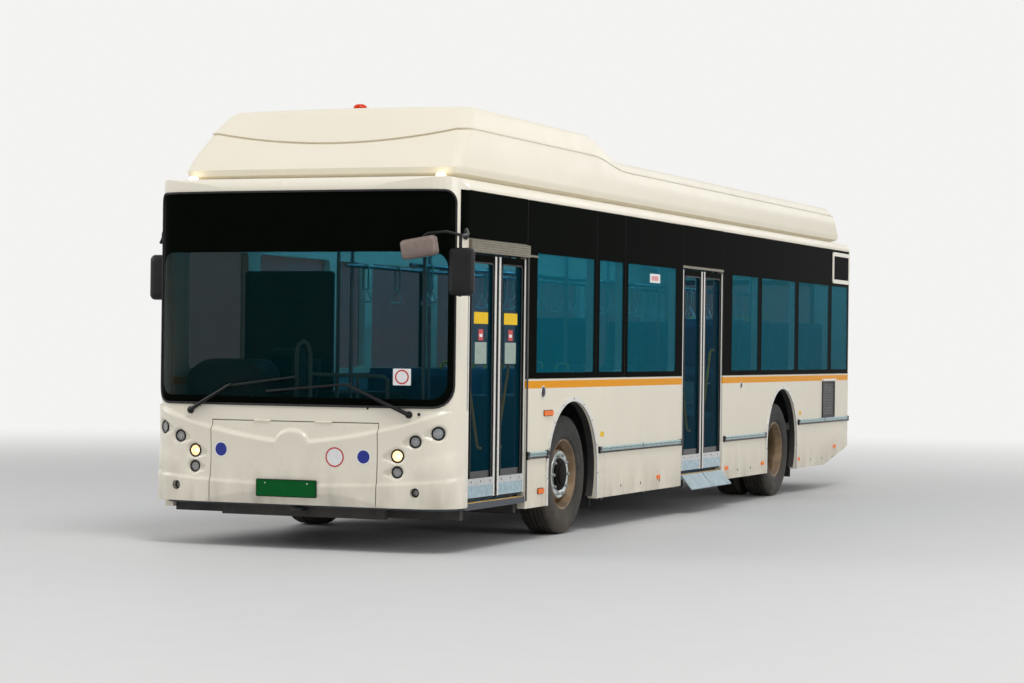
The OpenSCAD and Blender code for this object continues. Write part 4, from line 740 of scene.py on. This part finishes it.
# middle height, half width and half height
LEAF_STICKERS = ((1790, 140, 45, "yellow"), (1660, 45, 43, "redfilm"), (1655, 30, 12, "white"),
                 (1520, 115, 83, "pale"))
for name in [n for n in NODES if n.endswith("_leaf")]:
    fore = 1 if "_fore_" in name else -1
    x0, x1, z0, z1 = low(name).x, high(name).x, floor_z + 36, high(name).z
    w, h, mid_x = x1 - x0, z1 - z0, (x0 + x1) / 2
    place = plane(mid_x, leaf_y, (z0 + z1) / 2, "x z -y")
    glass_w, glass_h, glass_c = w - 2 * stile_w, h - 170, 25

    def glass_line(grow, r):
        return rounded(glass_w + grow, glass_h + grow, r, at=(0, glass_c))

    b.band(rounded(w - 2 * rubber, h, 12), glass_line(0, 30), place, leaf_t, "gloss")
    b.band(glass_line(12, 34), glass_line(-14, 26), moved(place, d=-1.5), 6, "rubber")
    b.pane(glass_w - 6, glass_h - 6, 30, moved(place, 0, glass_c, 10), 6, "glazing")
    for sx in (-1, 1):
        rim, outer = sx * w / 2, sx * (w / 2 - rubber)
        inner = outer - sx * (34 if sx == -fore else 20)
        b.prism([(outer, -h / 2), (rim, -h / 2 + 4), (rim, h / 2 - 4), (outer, h / 2)], moved(place, d=4),
                leaf_t - 8, "rubber")
        b.prism([(inner, -h / 2 + 2), (outer, -h / 2 + 2), (outer, h / 2 - 2), (inner, h / 2 - 2)],
                moved(place, d=-4.5), 20, "edge")
    # kick plate, board behind the glass, riveted strip, brush below
    kick_z = z0 + 100
    for inset, y0, y1, foot, top, finish in (
            (rubber + 4, 0, 2, z0 + 4, kick_z, "kick"),
            (stile_w - 6, -12, -9, kick_z + 12, kick_z + 105, "dark_pane"),
            (rubber + 2, 0, 3.5, kick_z - 2, kick_z + 52, "metal"),
            (rubber, -24, -12, z0 - 12, z0 + 2, "rubber")):
        b.box((x0 + inset, leaf_y + y0, foot), (x1 - inset, leaf_y + y1, top), finish)
    for share in (0.18, 0.5, 0.82):
        b.lathe([(0, 3), (4, 2.5), (7, 0), (7, -1), (0, -1)], (x0 + w * share, leaf_y + 3.5, kick_z + 27), Y,
                "black", 12)
    # blank stickers, the slanting rail inside, ears and pins that carry the leaf on its arms
    for z, half_w, half_h, finish in LEAF_STICKERS if name.startswith("front") else ():
        lift = 1.2 if finish == "white" else 0.6
        b.box((mid_x - half_w, leaf_y - 10.5, z - half_h), (mid_x + half_w, leaf_y - 10 + lift, z + half_h),
              finish)
    ends = [(38, 20), (10, 16), (0, 0)]
    rail_y = leaf_y - leaf_t - 34
    b.tube([(mid_x + fore * 170, rail_y + a, 1550 + c) for a, c in ends]
           + [(mid_x - fore * 100, rail_y + a, 800 - c) for a, c in reversed(ends)], 12, "yellow")
    hinge = JOINTS[name.replace("_leaf", "_leaf_turn")]
    for foot, t, r, e, f in ((z0, 60, 18, 2, 2), (z1 - 50, 50, 18, 2, 2), (z0 - 22, 23, 9, 0.5, 1),
                             (z1 - 1, 23, 9, 0.5, 1)):
        b.lathe([(0, 0), (r - e, 0), (r, f), (r, t - f), (r - e, t), (0, t)], (hinge.x, hinge.y, foot), Z,
                "cast", 32)
    b.done(name + "_dressed", name, replaces=[name], angle=40)


# Padded seats: one cushion and one back are blown up by a cloth simulation and set in every seat
def pad(w, d, t, channels):
    """Points and faces of a crowned pad, with sewn channels across it at those shares of its length."""
    def place(a, c, layer):
        edge = math.sqrt(max(0, (1 - a**6) * (1 - c**6)))
        half = 0.5 * t * (0.35 + 0.65 * edge)
        return a * w / 2 * (1 - 0.03 * c * c), c * d / 2 * (1 - 0.03 * a * a), half * (1 - 2 * layer)

    form = Build()
    form.sheet(even(-1, 1, 18), even(-1, 1, 18), place, "fabric")
    mesh = form.mesh("pad_form")
    before = [v.co * MM for v in mesh.vertices]
    faces = [tuple(f.vertices) for f in mesh.polygons]
    after = before
    body = placed("pad_form", mesh)
    cloth = body.modifiers.new("cloth", "CLOTH")
    cloth.settings.use_pressure = True
    cloth.settings.uniform_pressure_force = 4
    cloth.settings.effector_weights.gravity = 0
    cloth.point_cache.frame_end = 20
    for step in range(1, 21):
        bpy.context.scene.frame_set(step)
    shaped = body.evaluated_get(bpy.context.evaluated_depsgraph_get())
    after = [v.co * MM for v in shaped.data.vertices]
    bpy.context.scene.frame_set(1)
    bpy.data.objects.remove(body)
    points = []
    for p, q in zip(before, after):
        move = q - p
        point = p + move * min(1, 10 / max(move.length, 1e-6))
        for share in channels:
            point.z -= math.copysign(6 * math.exp(-((point.y / d - share) / 0.022) ** 2), point.z)
        points.append(point)
    return points, faces


seat_w, seat_h, driver_h = 430, 430, 520
recline = math.atan2(70, 520)
CUSHION = pad(385, 335, 38, (-0.22, 0.16))
BACK = pad(375, 475, 30, (-0.2, 0.05, 0.3))
SHELL = [(12, -32), (30, -75), (80, -88), (360, -85), (435, -55), (486, 300), (526, 553), (512, 566),
         (494, 560), (462, 300), (400, -10), (360, -42), (80, -50), (30, -26)]
SHELL_LIP = [(50, -60), (370, -60), (450, 100), (490, 500), (470, 520), (400, 80), (340, -12), (50, -20)]
HAND_LOOP = ((500, 0, 470), (535, 0, 600), (540, 20, 625), (540, 100, 625), (535, 120, 600), (500, 120, 470))


def seat_pads(x, y, z, height, scale=1):
    """A cushion and a back pad on a seat whose front edge is at x."""
    lean, rise, z = math.sin(recline), math.cos(recline), z + height
    b.faces([(x - 195 - p.y, y + p.x * scale, z - 18 + p.z) for p in CUSHION[0]], CUSHION[1], "fabric")
    b.faces([(x - 434 - p.y * lean + p.z * rise, y + p.x * scale, z + 295 + p.y * rise + p.z * lean)
             for p in BACK[0]], BACK[1], "fabric")


def seat_frame(x, y, z, height, w, handle=0):
    """Moulded shell, leg and, on the aisle side, a hand loop."""
    top = z + height
    b.prism(SHELL, plane(x, y - w / 2 + 8, top, "-x z y"), w - 16, "shell")
    for side in (-1, 1):
        b.prism(SHELL_LIP, plane(x, y + side * (w / 2 - 11) - 3, top, "-x z y"), 6, "shell")
    leg = [(100, 0), (340, 0), (340, 14), (250, 26), (240, height - 86), (170, height - 86), (180, 26),
           (100, 14)]
    b.prism(leg, plane(x, y - 20, z, "-x z y"), 40, "cast")
    if handle:
        e = y + handle * (w / 2 - 20)
        b.tube([(x - back, e - handle * across, top + up) for back, across, up in HAND_LOOP], 11, "yellow", 8)


step_x = mid_door[1] - 190
ROWS = [(front_axle.x - 1470 - 750 * k, 1, floor_z) for k in range(2)]
ROWS += [(front_axle.x - 820 - 750 * k, -1, floor_z) for k in range(4)]
ROWS += [(x, s, rear_floor_z) for x in (step_x - 250, rear_axle.x - 865, rear_axle.x - 1715) for s in (1, -1)]
for k, (x, s, z) in enumerate(ROWS):
    for share in (0.5, 1.5):
        seat_pads(x, s * (inner_y - 10 - share * seat_w), z, seat_h)
    b.done(f"seat_pads_{k + 1}", angle=60)
for x, s, z in ROWS:
    for share, handle in ((0.5, 0), (1.5, -s)):
        seat_frame(x, s * (inner_y - 10 - share * seat_w), z, seat_h, seat_w, handle)
b.done("seat_shells", replaces=["passenger_seats"], bevel=4, angle=40)
driver_x, driver_y = nose_x - 900, 520 - inner_y
seat_frame(driver_x, driver_y, floor_z, driver_h, 500)
for k in range(5):
    b.lathe([(100, 0), (150, 4), (160, 30), (150, 56), (100, 60)],
            (driver_x - 200, driver_y, floor_z + 50 + 60 * k), Z, "rubber", 24)
for side in (-235, 235):
    line = ((470, 740), (300, 740), (160, 730))
    b.tube([(driver_x - back, driver_y + side, floor_z + z) for back, z in line], [20, 26, 22], "dash")
b.done("driver_shell", replaces=["driver_seat"], bevel=4, angle=40)
seat_pads(driver_x, driver_y, floor_z, driver_h, 1.18)
b.done("driver_pads", angle=60)

# Cab: instrument hood, console, guard rails, partition behind the driver
dash_x, dash_y = nose_x - 260, driver_y - 60
# setback, half width, top and corner radius of the hood's rings
HOOD = ((20, 300, 1300, 100), (60, 340, 1400, 130), (200, 360, 1440, 140), (300, 360, 1450, 140),
        (335, 350, 1440, 130))
hood_foot = 1060
rings = []
for x, half, top, r in HOOD:
    mid_z = (hood_foot + top) / 2
    rings.append([(dash_x - x, dash_y + a, mid_z + c) for a, c in rounded(2 * half, top - hood_foot, r)])
b.loft(rings, "dash")
face_x = dash_x - 338
for a, r in ((-170, 75), (20, 75), (160, 35), (-300, 35)):
    y = dash_y + a
    b.lathe([(r, 0), (r + 6, 0), (r + 6, 6), (r, 8), (r - 4, 3), (0, 3), (0, 0)], (face_x, y, 1280),
            (-1, 0, 0), "black", 32)
    b.prism([(-2, 0), (2, 0), (1, r * 0.8), (-1, r * 0.8)],
            lambda p, q, d: (face_x - 4 - d, y + p * 0.8 + q * 0.6, 1280 + q * 0.8 - p * 0.6), 1, "redfilm")
for k in range(7):
    y = dash_y - 270 + 85 * k
    b.box((face_x - 6, y, 1130), (face_x + 2, y + 50, 1165), "black")
b.done("instrument_hood", bevel=3)
x0, x1, y0, y1 = nose_x - 910, nose_x - 680, -600, -330
b.box((x0, y0, floor_z + 4), (x1, y1, 1100), "dash")
b.prism([(x0 + 10, 1100), (x1 - 10, 1100), (x1 - 20, 1520), (x0 + 30, 1540)], plane(0, y0 + 10, 0, "x z y"),
        y1 - y0 - 20, "dash")
b.box((x1 - 18, y0 + 50, 1300), (x1 - 8, y1 - 50, 1480), "gloss")
for k in range(4):
    b.lathe([(0, 10), (8, 9), (11, 0), (0, -4)], (x0 + 14, y0 + 60 + 45 * k, 1240), (-1, 0, 0),
            "amber" if k % 2 else "lit", 16)
b.done("cab_console", bevel=6)
rail_x, foot = nose_x - 655, floor_z + 2
for r, line in ((17, [(-305, foot), (-305, 1500), (-285, 1570), (-245, 1595), (-205, 1570), (-185, 1500),
                      (-185, foot)]),
                (16, [(-185, 1335), (460, 1325), (490, 1300), (490, foot)]), (14, [(-185, 800), (490, 800)]),
                (14, [(230, 1325), (230, foot)])):
    b.tube([(rail_x, y, z) for y, z in line], r, "tube")
for y in (-305, -185, 490, 230):
    b.lathe([(16, 0), (40, 0), (40, 6), (24, 10), (16, 12)], (rail_x, y, floor_z + 1), Z, "cast", 24)
b.done("cab_rails")
wall_x = nose_x - 1520
on_wall = plane(wall_x + 30, -810, 1680, "y z -x")
b.box((wall_x, 12 - inner_y, floor_z + 4), (wall_x + 30, -400, 1180), "board")
b.band(rounded(820, 1000, 30), rounded(760, 940, 20), on_wall, 30, "board")
b.pane(770, 950, 20, moved(on_wall, d=12), 6, "dark_pane")
b.tube([(wall_x + 15, -360, floor_z + 2), (wall_x + 15, -360, ceiling_z - 1)], 17, "tube")
b.done("cab_partition", bevel=3)

# Lining of the walls, ceiling lights and hand straps
for s, x1, x0 in ((1, front_door[1] - 50, mid_door[0] + 50), (1, mid_door[1] - 50, wall_rear + 60),
                  (-1, wall_front - 320, wall_rear + 60)):
    stops = sorted({x1, x0, *[x for axle in AXLES for x in (axle - 660, axle + 660) if x0 < x < x1]})
    for a, c in zip(stops, stops[1:]):
        arch = any(a >= axle - 670 and c <= axle + 670 for axle in AXLES)
        foot = 1200 if arch else floor_z + 30
        b.box((a + 2, s * (inner_y - 6), foot), (c - 2, s * (inner_y - 1), 1300), "lining")
    b.tube([(x, s * (inner_y - 6), 1305) for x in (x1, x0)], 10, "dash", 8)
b.done("wall_lining")
strip = [(-55, 0), (-45, -16), (-20, -22), (20, -22), (45, -16), (55, 0)]
for s in (1, -1):
    for x1, x0 in ((nose_x - 1700, 100), (0, tail_x + 500)):
        b.prism(strip, plane(x1, s * 660, ceiling_z - 1, "y z -x"), x1 - x0, "strip")
        for x in (x1, x0 + 30):
            b.prism([(a * 1.15, c * 1.2) for a, c in strip], plane(x, s * 660, ceiling_z - 1, "y z -x"), 30,
                    "black")
b.done("ceiling_lights")
rail_y, rail_z = high("grab_rails").y - 17, low("grab_rails").z + 17
for s in (1, -1):
    for x in steps(nose_x - 1900, tail_x + 1200, 620):
        b.band(rounded(30, 215, 14), rounded(24, 207, 11),
               lambda a, c, d: (x + 15 - d, s * rail_y + a * 1.8, rail_z - 85 + c), 22, "pale")
        grip = ((0, 20), (55, -85), (48, -95), (-48, -95), (-55, -85))
        b.tube([(x, s * rail_y + a, rail_z - 200 + c) for a, c in grip], 8, "white", 8, closed=True)
b.done("hand_straps")

# Wheels
tyre_half = 142.5
rear_y = side_y - 55 - tyre_half
twin_y = rear_y - 322
# radius and distance inwards from the tyre's widest place
TYRE_WALL = ((284, 45), (290, 34), (306, 24), (331, 10), (336, 10.5), (366, 3), (401, 0), (436, 3), (441, 5),
             (461, 10), (480, 18), (492, 27), (498, 40))
TYRE_INSIDE = ((316, 55), (376, 30), (450, 45))
RIM = ((286, 40), (298, 34), (300, 28), (294, 23), (284, 26), (276, 34), (270, 60), (252, 78), (246, 100))
RIM_INSIDE = ((250, 104), (256, 84), (280, 62))
NUT = [(0, 0), (17, 0), (17, 4), (14.5, 6), (14.5, 17), (12, 20), (8, 20), (8, 25), (0, 26)]


def across(line):
    """A line of a wheel's section and the same line mirrored to the other side."""
    half = [(r, tyre_half - a) for r, a in line]
    return half, [(r, -h) for r, h in reversed(half)]


def tyre(centre, y):
    part = across(TYRE_WALL)[0]
    for g in (78, 42):
        part += [(500, g + 6), (486, g + 4), (486, g - 4), (500, g - 6)]
    part += [(500, 12), (486, 10)]
    inside, far_inside = across(TYRE_INSIDE)
    section = part + [(r, -h) for r, h in reversed(part)] + far_inside[::-1] + [(465, 0)] + inside[::-1]
    b.lathe(section, (centre.x, y, centre.z), Y, "tyre", 96)


def wheel(centre, y, out, disc, edge, h0, h1, nuts=True):
    """A disc wheel with hand holes; out is the side its face looks to, disc and edge are the places of its
    middle and its edge, h0 and h1 those of the hub's ends."""
    mid, axis = Vector((centre.x, y, centre.z)), (0, out, 0)

    def place(a, c, layer):
        height = disc + (edge - disc) * smooth(200, 245, math.hypot(a, c))
        return mid.x + a, mid.y + out * (height - 12 * layer), mid.z + c

    def around(r, n, height, shift=0):
        return [mid + Vector((a, out * height, c)) for a, c in ring(r, n, shift=shift)]

    near, far = across(RIM)
    inside, far_inside = across(RIM_INSIDE)
    b.lathe(near + far + far_inside + inside, mid, axis, "rim", 96)
    b.sheet([math.tau * k / 96 for k in range(96)], steps(126, 248, 7.5), place, "rim",
            holes=[(a, c, 19) for a, c in ring(224, 8)], flat=lambda u, v: (v * math.cos(u), v * math.sin(u)),
            wrap=True)
    if not nuts:
        b.lathe([(60, h0), (136, h0), (136, h1 - 4), (132, h1), (60, h1)], mid, axis, "cast")
        return
    b.lathe([(140, disc - 4), (200, disc - 4), (200, disc + 7), (197, disc + 11), (146, disc + 11),
             (140, disc + 6)], mid, axis, "bright", 96)
    for at in around(169, 10, disc + 10):
        b.lathe(NUT, at, axis, "nut", 6)
    # hub and its bolts in the near-black hub finish: painted shade for the dark middle of the wheel
    b.lathe([(50, h0), (132, h0), (132, h1 - 22), (122, h1 - 16), (90, h1 - 14), (86, h1 - 4), (74, h1),
             (0, h1), (0, h1 - 20), (50, h1 - 20)], mid, axis, "hub", 64)
    for at in around(104, 8, h1 - 16, 0.5):
        b.lathe([(0, 0), (7, 0), (7, 5), (0, 6)], at, axis, "hub", 6)


for side, s in SIDES:
    tyre(front_axle, s * front_axle.y)
    b.done(f"front_{side}_tread", f"front_{side}_wheel", replaces=[f"front_{side}_tyre"],
           angle=40)
    wheel(front_axle, s * front_axle.y, s, 75, 22, 0, 118)
    b.done(f"front_{side}_disc", f"front_{side}_wheel", replaces=[f"front_{side}_rim"], angle=40)
    tyre(rear_axle, s * rear_y)
    tyre(rear_axle, s * twin_y)
    b.done(f"rear_{side}_treads", f"rear_{side}_wheels", replaces=[f"rear_{side}_tyres"],
           angle=40)
    wheel(rear_axle, s * rear_y, s, -151, -60, -181, -10)
    wheel(rear_axle, s * twin_y, s, 131, 34, 111, 151, False)
    b.done(f"rear_{side}_discs", f"rear_{side}_wheels", replaces=[f"rear_{side}_rims"], angle=40)

# Outside trims
ARCHES = ((front_axle, 535), (rear_axle, 575))
arch_r, arch_half, end_cap = 585, 640, 45
RUB = [(0, 2), (12, 0), (19, 4), (21, 12), (17, 18), (17, 34), (21, 40), (19, 50), (12, 54), (0, 52)]
# RUB_SHADE is a black strip over the rail's lower part: painted reflection, the dark underside of the bright
# chrome
RUB_SHADE = [(0, 1), (13, -1.5), (20.5, 3), (22.5, 13), (17, 20), (0, 20)]
# front end, rear end, height and how much larger its end caps are
REAR_RUB = (AXLES[1] - arch_half, wall_rear, 756, 1.12)
LEFT_RUBS = ((front_door[1], AXLES[0] + arch_r, 668, 1.25),
             (AXLES[0] - arch_half, mid_door[0] + 10, 660, 1.12),
             (mid_door[1] - 40, AXLES[1] + arch_half, 650, 1.12), REAR_RUB)
RIGHT_RUBS = ((wall_front - 20, AXLES[0] + arch_half, 668, 1.12),
              (AXLES[0] - arch_half, AXLES[1] + arch_half, 655, 1.12), REAR_RUB)


def grown(by):
    return [(a * by, 27 + (c - 27) * by) for a, c in RUB]


for side, s in SIDES:
    for centre, z in ARCHES:
        end = math.asin((290 - z) / arch_r)

        def liner(a, y, layer):
            r = arch_r - 1 - 3 * layer
            return centre.x + r * math.cos(a), s * y, z + r * math.sin(a)

        b.sheet(even(end, math.pi - end, 48), [inner_y - 4, side_y - 35, side_y - 14], liner, "chassis")
    b.done("arch_liners_" + side)
for side, s, rubs in (("left", 1, LEFT_RUBS), ("right", -1, RIGHT_RUBS)):
    for x1, x0, z, larger in rubs:
        start, long = x1 - end_cap, x1 - x0 - 2 * end_cap
        # the rail in its bright finish, and over its lower part the black strip of painted dark reflection
        rods = [(RUB, start, long, "rail"), (RUB_SHADE, start, long, "black")]
        rods += [(grown(larger), x, end_cap, "black") for x in (x1, x0 + end_cap)]
        rods += [(grown(1.05), x + shift, 4, "black") for x in steps(start, x0 + end_cap, 1150)[1:-1]
                 for shift in (6, -6)]
        for outline, x, length, finish in rods:
            b.prism(outline, plane(x, side_y, z, "y z -x", s), length, finish)
    b.done("rubs_" + side, replaces=["rub_rails"] if s > 0 else (), bevel=1)
for side, s in SIDES:
    for centre, z in ARCHES:
        for k in range(9):
            a = math.radians(-4 + 23.5 * k)
            at = (centre.x + 605 * math.cos(a), s * (side_y + 12), z + 605 * math.sin(a))
            b.lathe([(0, 3), (5, 2), (7, 0), (7, -1), (0, -1)], at, (0, s, 0), "black", 12)
    b.done("arch_rivets_" + side)

# Small things on the sides: locks, stickers, rivets along the skirt, indicators, a jamb strip and a notice
for x, z, r in ((4024, 1205, 52), (-1583, 1214, 36)):
    at = (x, side_y, z)
    b.lathe([(r - 10, 0), (r, 0), (r, 4), (r - 4, 7), (r - 10, 5)], at, Y, "metal", 40)
    b.lathe([(0, 1), (r - 10, 1), (r - 10, 4), (r * 0.4, 4), (r * 0.3, 6), (0, 6)], at, Y, "black", 40)
for s in (1, -1):
    for x, z in ((2593, 823), (-3868, 883)):
        b.box((x - 45, s * side_y, z - 22), (x + 45, s * (side_y + 0.8), z + 22), "yellow")
    for x1, x0 in ((AXLES[0] - 700, mid_door[0] + 100), (mid_door[1] - 100, AXLES[1] + 720),
                   (AXLES[1] - 720, wall_rear + 200)):
        for x in steps(x1, x0, 480)[1:-1]:
            b.lathe([(0, 3), (5, 3), (8, 1.5), (11, 1.5), (12, 0), (0, -0.5)], (x, s * side_y, 352),
                    (0, s, 0), "black", 20)
for x, z, half in ((front_door[1] - 491, 1031, 98), (front_door[1] - 331, 398, 62)):
    for s in (1, -1):
        b.prism(rounded(2 * half, 40, 10), plane(x, side_y + 13.5, z, "x z -y", s), 13.5, "amber")
        b.prism(rounded(2 * half + 10, 50, 13), plane(x, side_y + 4, z, "x z -y", s), 4, "black")
b.box((front_door[1] - 34, side_y, 330), (front_door[1] - 2, side_y + 3, 2360), "black")
b.box((1061, side_y, 2180), (1351, side_y + 0.8, 2262), "white")
b.box((1111, side_y + 0.6, 2200), (1301, side_y + 1.2, 2242), "rose")
b.done("side_details")

# Ribs of the gutter over the front doorway, sill nosings
gutter = high("door_headers").y
for k in range(5):
    b.prism([(0, 0), (3, 3), (3, 8), (0, 11)], plane(front_door[1] + 12, gutter, 2302 + 18 * k, "y z x"),
            front_door[0] - front_door[1] - 26, "header")
b.box((front_door[1] - 200, side_y, 2296), (front_door[1] + 10, side_y + 12, 2312), "header")
b.done("gutter_ribs", bevel=0.6)
treads = [[(-12 - y, 3), (-10 - y, 5.5), (-7 - y, 5.5), (-5 - y, 3)] for y in (0, 9, 18, 27)]
for x1, x0 in (front_door, mid_door):
    for outline in [[(0, -30), (3, -32), (6, -6), (4, 4), (-45, 4), (-45, 0)], *treads]:
        b.prism(outline, plane(x0 + 20, side_y - 12, floor_z, "y z x"), x1 - x0 - 40, "gold")
b.done("sill_nosings")

# Louvred grille with its white cap, white-framed boxes high at the rear, tail lamps
x0, z0, w, h = tail_x + 707, 815, 541, 420
x1, z1 = x0 + w, z0 + h
b.band(rounded(w, h, 12), rounded(w - 50, h - 50, 8),
       plane((x0 + x1) / 2, side_y + 14, (z0 + z1) / 2, "x z -y"), 14, "dash")
b.box((x0 + 20, side_y, z0 + 20), (x1 - 20, side_y + 3, z1 - 20), "black")
for k in range(12):
    b.prism([(2, 22), (12, 0), (13, 2), (3, 24)], plane(x0 + 26, side_y, z0 + 35 + 30 * k, "y z x"), w - 52,
            "black")
b.prism([(0, -4), (26, -4), (30, 4), (26, 20), (0, 24)], plane(x0 - 10, side_y, z1, "y z x"), w + 20, "paint")
b.box((x0 + 10, side_y, z0 - 12), (x1 - 10, side_y + 12, z0 + 4), "blue")
b.done("grille_slats", replaces=["side_grille"], bevel=1)
w, h = 769, 361
for s in (1, -1):
    place = plane(tail_x + 462.5, side_y + 12, 2546.5, "x z -y", s)
    b.band(rounded(w, h, 30), rounded(w - 90, h - 90, 15), place, 12, "paint")
    b.pane(w - 85, h - 85, 15, moved(place, d=6), 5, "gloss")
b.done("rear_side_boxes", bevel=1)
ribs = [(r, 8.5 - i % 2) for i, r in enumerate(range(41, 4, -3))]
for s in (1, -1):
    for z, lens in ((760, "clear"), (900, "red"), (1040, "amber"), (1180, "red")):
        at = (tail_x, s * 1130, z)
        b.lathe([(42, 0), (50, 0), (50, 6), (47, 9), (42, 7)], at, (-1, 0, 0), "black")
        b.lathe([(42, 1), (42, 7), *ribs, (0, 8.5), (0, 1)], at, (-1, 0, 0), lens)
b.done("tail_lenses", replaces=["tail_lamps"])

# Wipers: pivot, knee and the two ends of the blade
for spots in (((-912, 1048), (-528, 1256), (-600, 1238), (16, 1319)),
              ((951, 1048), (457, 1272), (482, 1273), (-232, 1207))):
    (p, n), (knee, knee_n), (e0, n0), (e1, n1) = [on_nose(*spot) for spot in spots]
    b.lathe([(0, -30), (28, -30), (28, 12), (22, 22), (10, 26), (0, 26)], p, n, "black", 32)
    b.tube([p + n * 16, p.lerp(knee, 0.35) + n * 34, knee + knee_n * 36, knee + knee_n * 24],
           [17, 14, 9, 8], "black", 10)
    for bow, out, r, finish, sides in ((10, 12, 9, "black", 8), (0, 6, 4, "rubber", 6)):
        b.tube([e0.lerp(e1, t) + n0.lerp(n1, t) * (out + bow * math.sin(math.pi * t))
                for t in even(0, 1, 10)], r, finish, sides)
b.lathe([(0, -10), (12, -10), (12, 8), (6, 14), (0, 14)], *on_nose(1030, 1052), "black", 16)
b.done("wiper_set", replaces=["wipers"])


# Mirrors on tube arms
def head(at, w, h, depth, tilt=0, r=40, finish="black"):
    """A domed housing with its glass to the rear."""
    turn, at = Matrix.Rotation(tilt, 3, "X"), Vector(at)

    def line(x, w, h, r):
        return [at + turn @ Vector((x, a, c)) for a, c in rounded(w, h, r, arc=8)]

    rings = []
    for t, grow in ((0, 0.93), (0.08, 1), (0.45, 1), (0.75, 0.93), (0.92, 0.78), (1, 0.5)):
        inset = (1 - grow) * min(w, h)
        rings.append(line(depth * t, w - inset, h - inset, r * grow))
    b.loft(rings, finish)
    glass = line(-2, w * 0.86, h * 0.92, r * 0.8)
    b.loft([glass, [p + Vector((4, 0, 0)) for p in glass]], "mirror")


for side, s in SIDES:
    back = 0 if s > 0 else 330
    knee = Vector((nose_x - 40 - back, s * (side_y + 60), 2400 - 0.1 * back))
    root = Vector((wall_front + 60, s * (side_y + 4), 2420))
    b.lathe([(0, 0), (45, 0), (45, 8), (30, 16), (18, 20), (0, 20)], root - Vector((0, s * 6, 0)), (0, s, 0),
            "black", 32)
    b.tube([root, root + Vector((40 * s, 30 * s, 0)), knee - Vector((50 * s, 0, 0)), knee,
            knee - Vector((0, 0, 30)), knee - Vector((0, 0, 460))], 13, "black")
    head((knee.x - 20, s * (side_y + 72), knee.z - 275), 200, 360, 65)
    for z in (2200, 2040):
        b.lathe([(13, -20), (21, -18), (21, 18), (13, 20)], (knee.x, knee.y, z), Z, "black", 24)
    if s > 0:
        elbow = Vector((nose_x + 50, 1130, 2410))
        b.tube([knee, knee.lerp(elbow, 0.4) + Vector((20, 0, 20)), elbow, elbow + Vector((0, -30, -20)),
                (nose_x + 50, 1080, 2340)], 11, "black")
        head((nose_x + 14, 1060, 2305), 290, 150, 80, 0.16, 30, "cover")
    b.done("mirror_" + side, replaces=["mirrors"] if s > 0 else ())

# Floor, light and camera, in metres
BACKDROP = (0.9, 0.9, 0.89, 1)
stage = bpy.data.materials.new("studio floor")
stage.use_nodes = True
tree = stage.node_tree
tree.nodes.clear()
where = node(tree, "TexCoord", {}, "Object")
tone = ramp(tree, node(tree, "TexNoise", {"Scale": 3, "Vector": where}, "Fac"), 0, 1, 0.64, 0.68)
distance = node(tree, "VectorMath", {0: where}, "Value", operation="LENGTH")
near = node(tree, "BsdfPrincipled", {"Base Color": tone, "Roughness": 0.6})
far = node(tree, "Emission", {"Color": BACKDROP})
blend = {"Fac": ramp(tree, distance, 6, 24, kind="SMOOTHSTEP"), 1: near, 2: far}
node(tree, "OutputMaterial", {"Surface": node(tree, "MixShader", blend)})
disc = bmesh.new()
bmesh.ops.create_circle(disc, cap_ends=True, segments=96, radius=150)
mesh = bpy.data.meshes.new("studio_floor")
disc.to_mesh(mesh)
disc.free()
mesh.materials.append(stage)
floor = placed("studio_floor", mesh)
floor.location.z = -0.002

world = bpy.data.worlds.new("studio")
bpy.context.scene.world = world
world.use_nodes = True
tree = world.node_tree
tree.nodes.clear()
rays = node(tree, "LightPath", {}, "Is Camera Ray")
for kind in ("Is Glossy Ray", "Is Transmission Ray"):
    rays = node(tree, "Math", {0: rays, 1: node(tree, "LightPath", {}, kind)}, operation="MAXIMUM")
soft = node(tree, "Background", {"Color": (1, 1, 1, 1), "Strength": 0.4})
seen = node(tree, "Background", {"Color": BACKDROP})
node(tree, "OutputWorld", {"Surface": node(tree, "MixShader", {"Fac": rays, 1: soft, 2: seen})})
for name, spot, aim, size, power in (("key", (11, 6, 17), (2, 0, 1), (7, 6), 1350),
                                     ("side", (6, 20, 6), (0, 0, 1.4), (12, 6), 750),
                                     ("fill", (10, -14, 9), (0, 0, 1), (10, 8), 700),
                                     ("back", (-14, 6, 8), (-2, 0, 1), (10, 6), 320)):
    data = bpy.data.lights.new(name, "AREA")
    data.shape, data.size, data.size_y, data.energy = "RECTANGLE", *size, power
    lamp = placed(name, data)
    lamp.location = spot
    lamp.rotation_euler = (Vector(aim) - Vector(spot)).to_track_quat("-Z", "Y").to_euler()

camera = bpy.data.cameras.new("photo_camera")
camera.sensor_width, camera.lens, camera.clip_end = 36, 87.695, 400
yaw, pitch, roll = -2.7583, 0.0031, 0.0125
ahead = Vector((math.cos(yaw) * math.cos(pitch), math.sin(yaw) * math.cos(pitch), math.sin(pitch)))
right = ahead.cross(Vector(Z)).normalized()
up = right.cross(ahead)
right, up = right * math.cos(roll) + up * math.sin(roll), up * math.cos(roll) - right * math.sin(roll)
view = Matrix((right, up, -ahead)).transposed().to_4x4()
view.translation = (23.0414, 8.6897, 1.5518)
eye = placed("photo_camera", camera)
eye.matrix_world = view
bpy.context.scene.camera = eye
bpy.context.scene.view_settings.view_transform = "Standard"
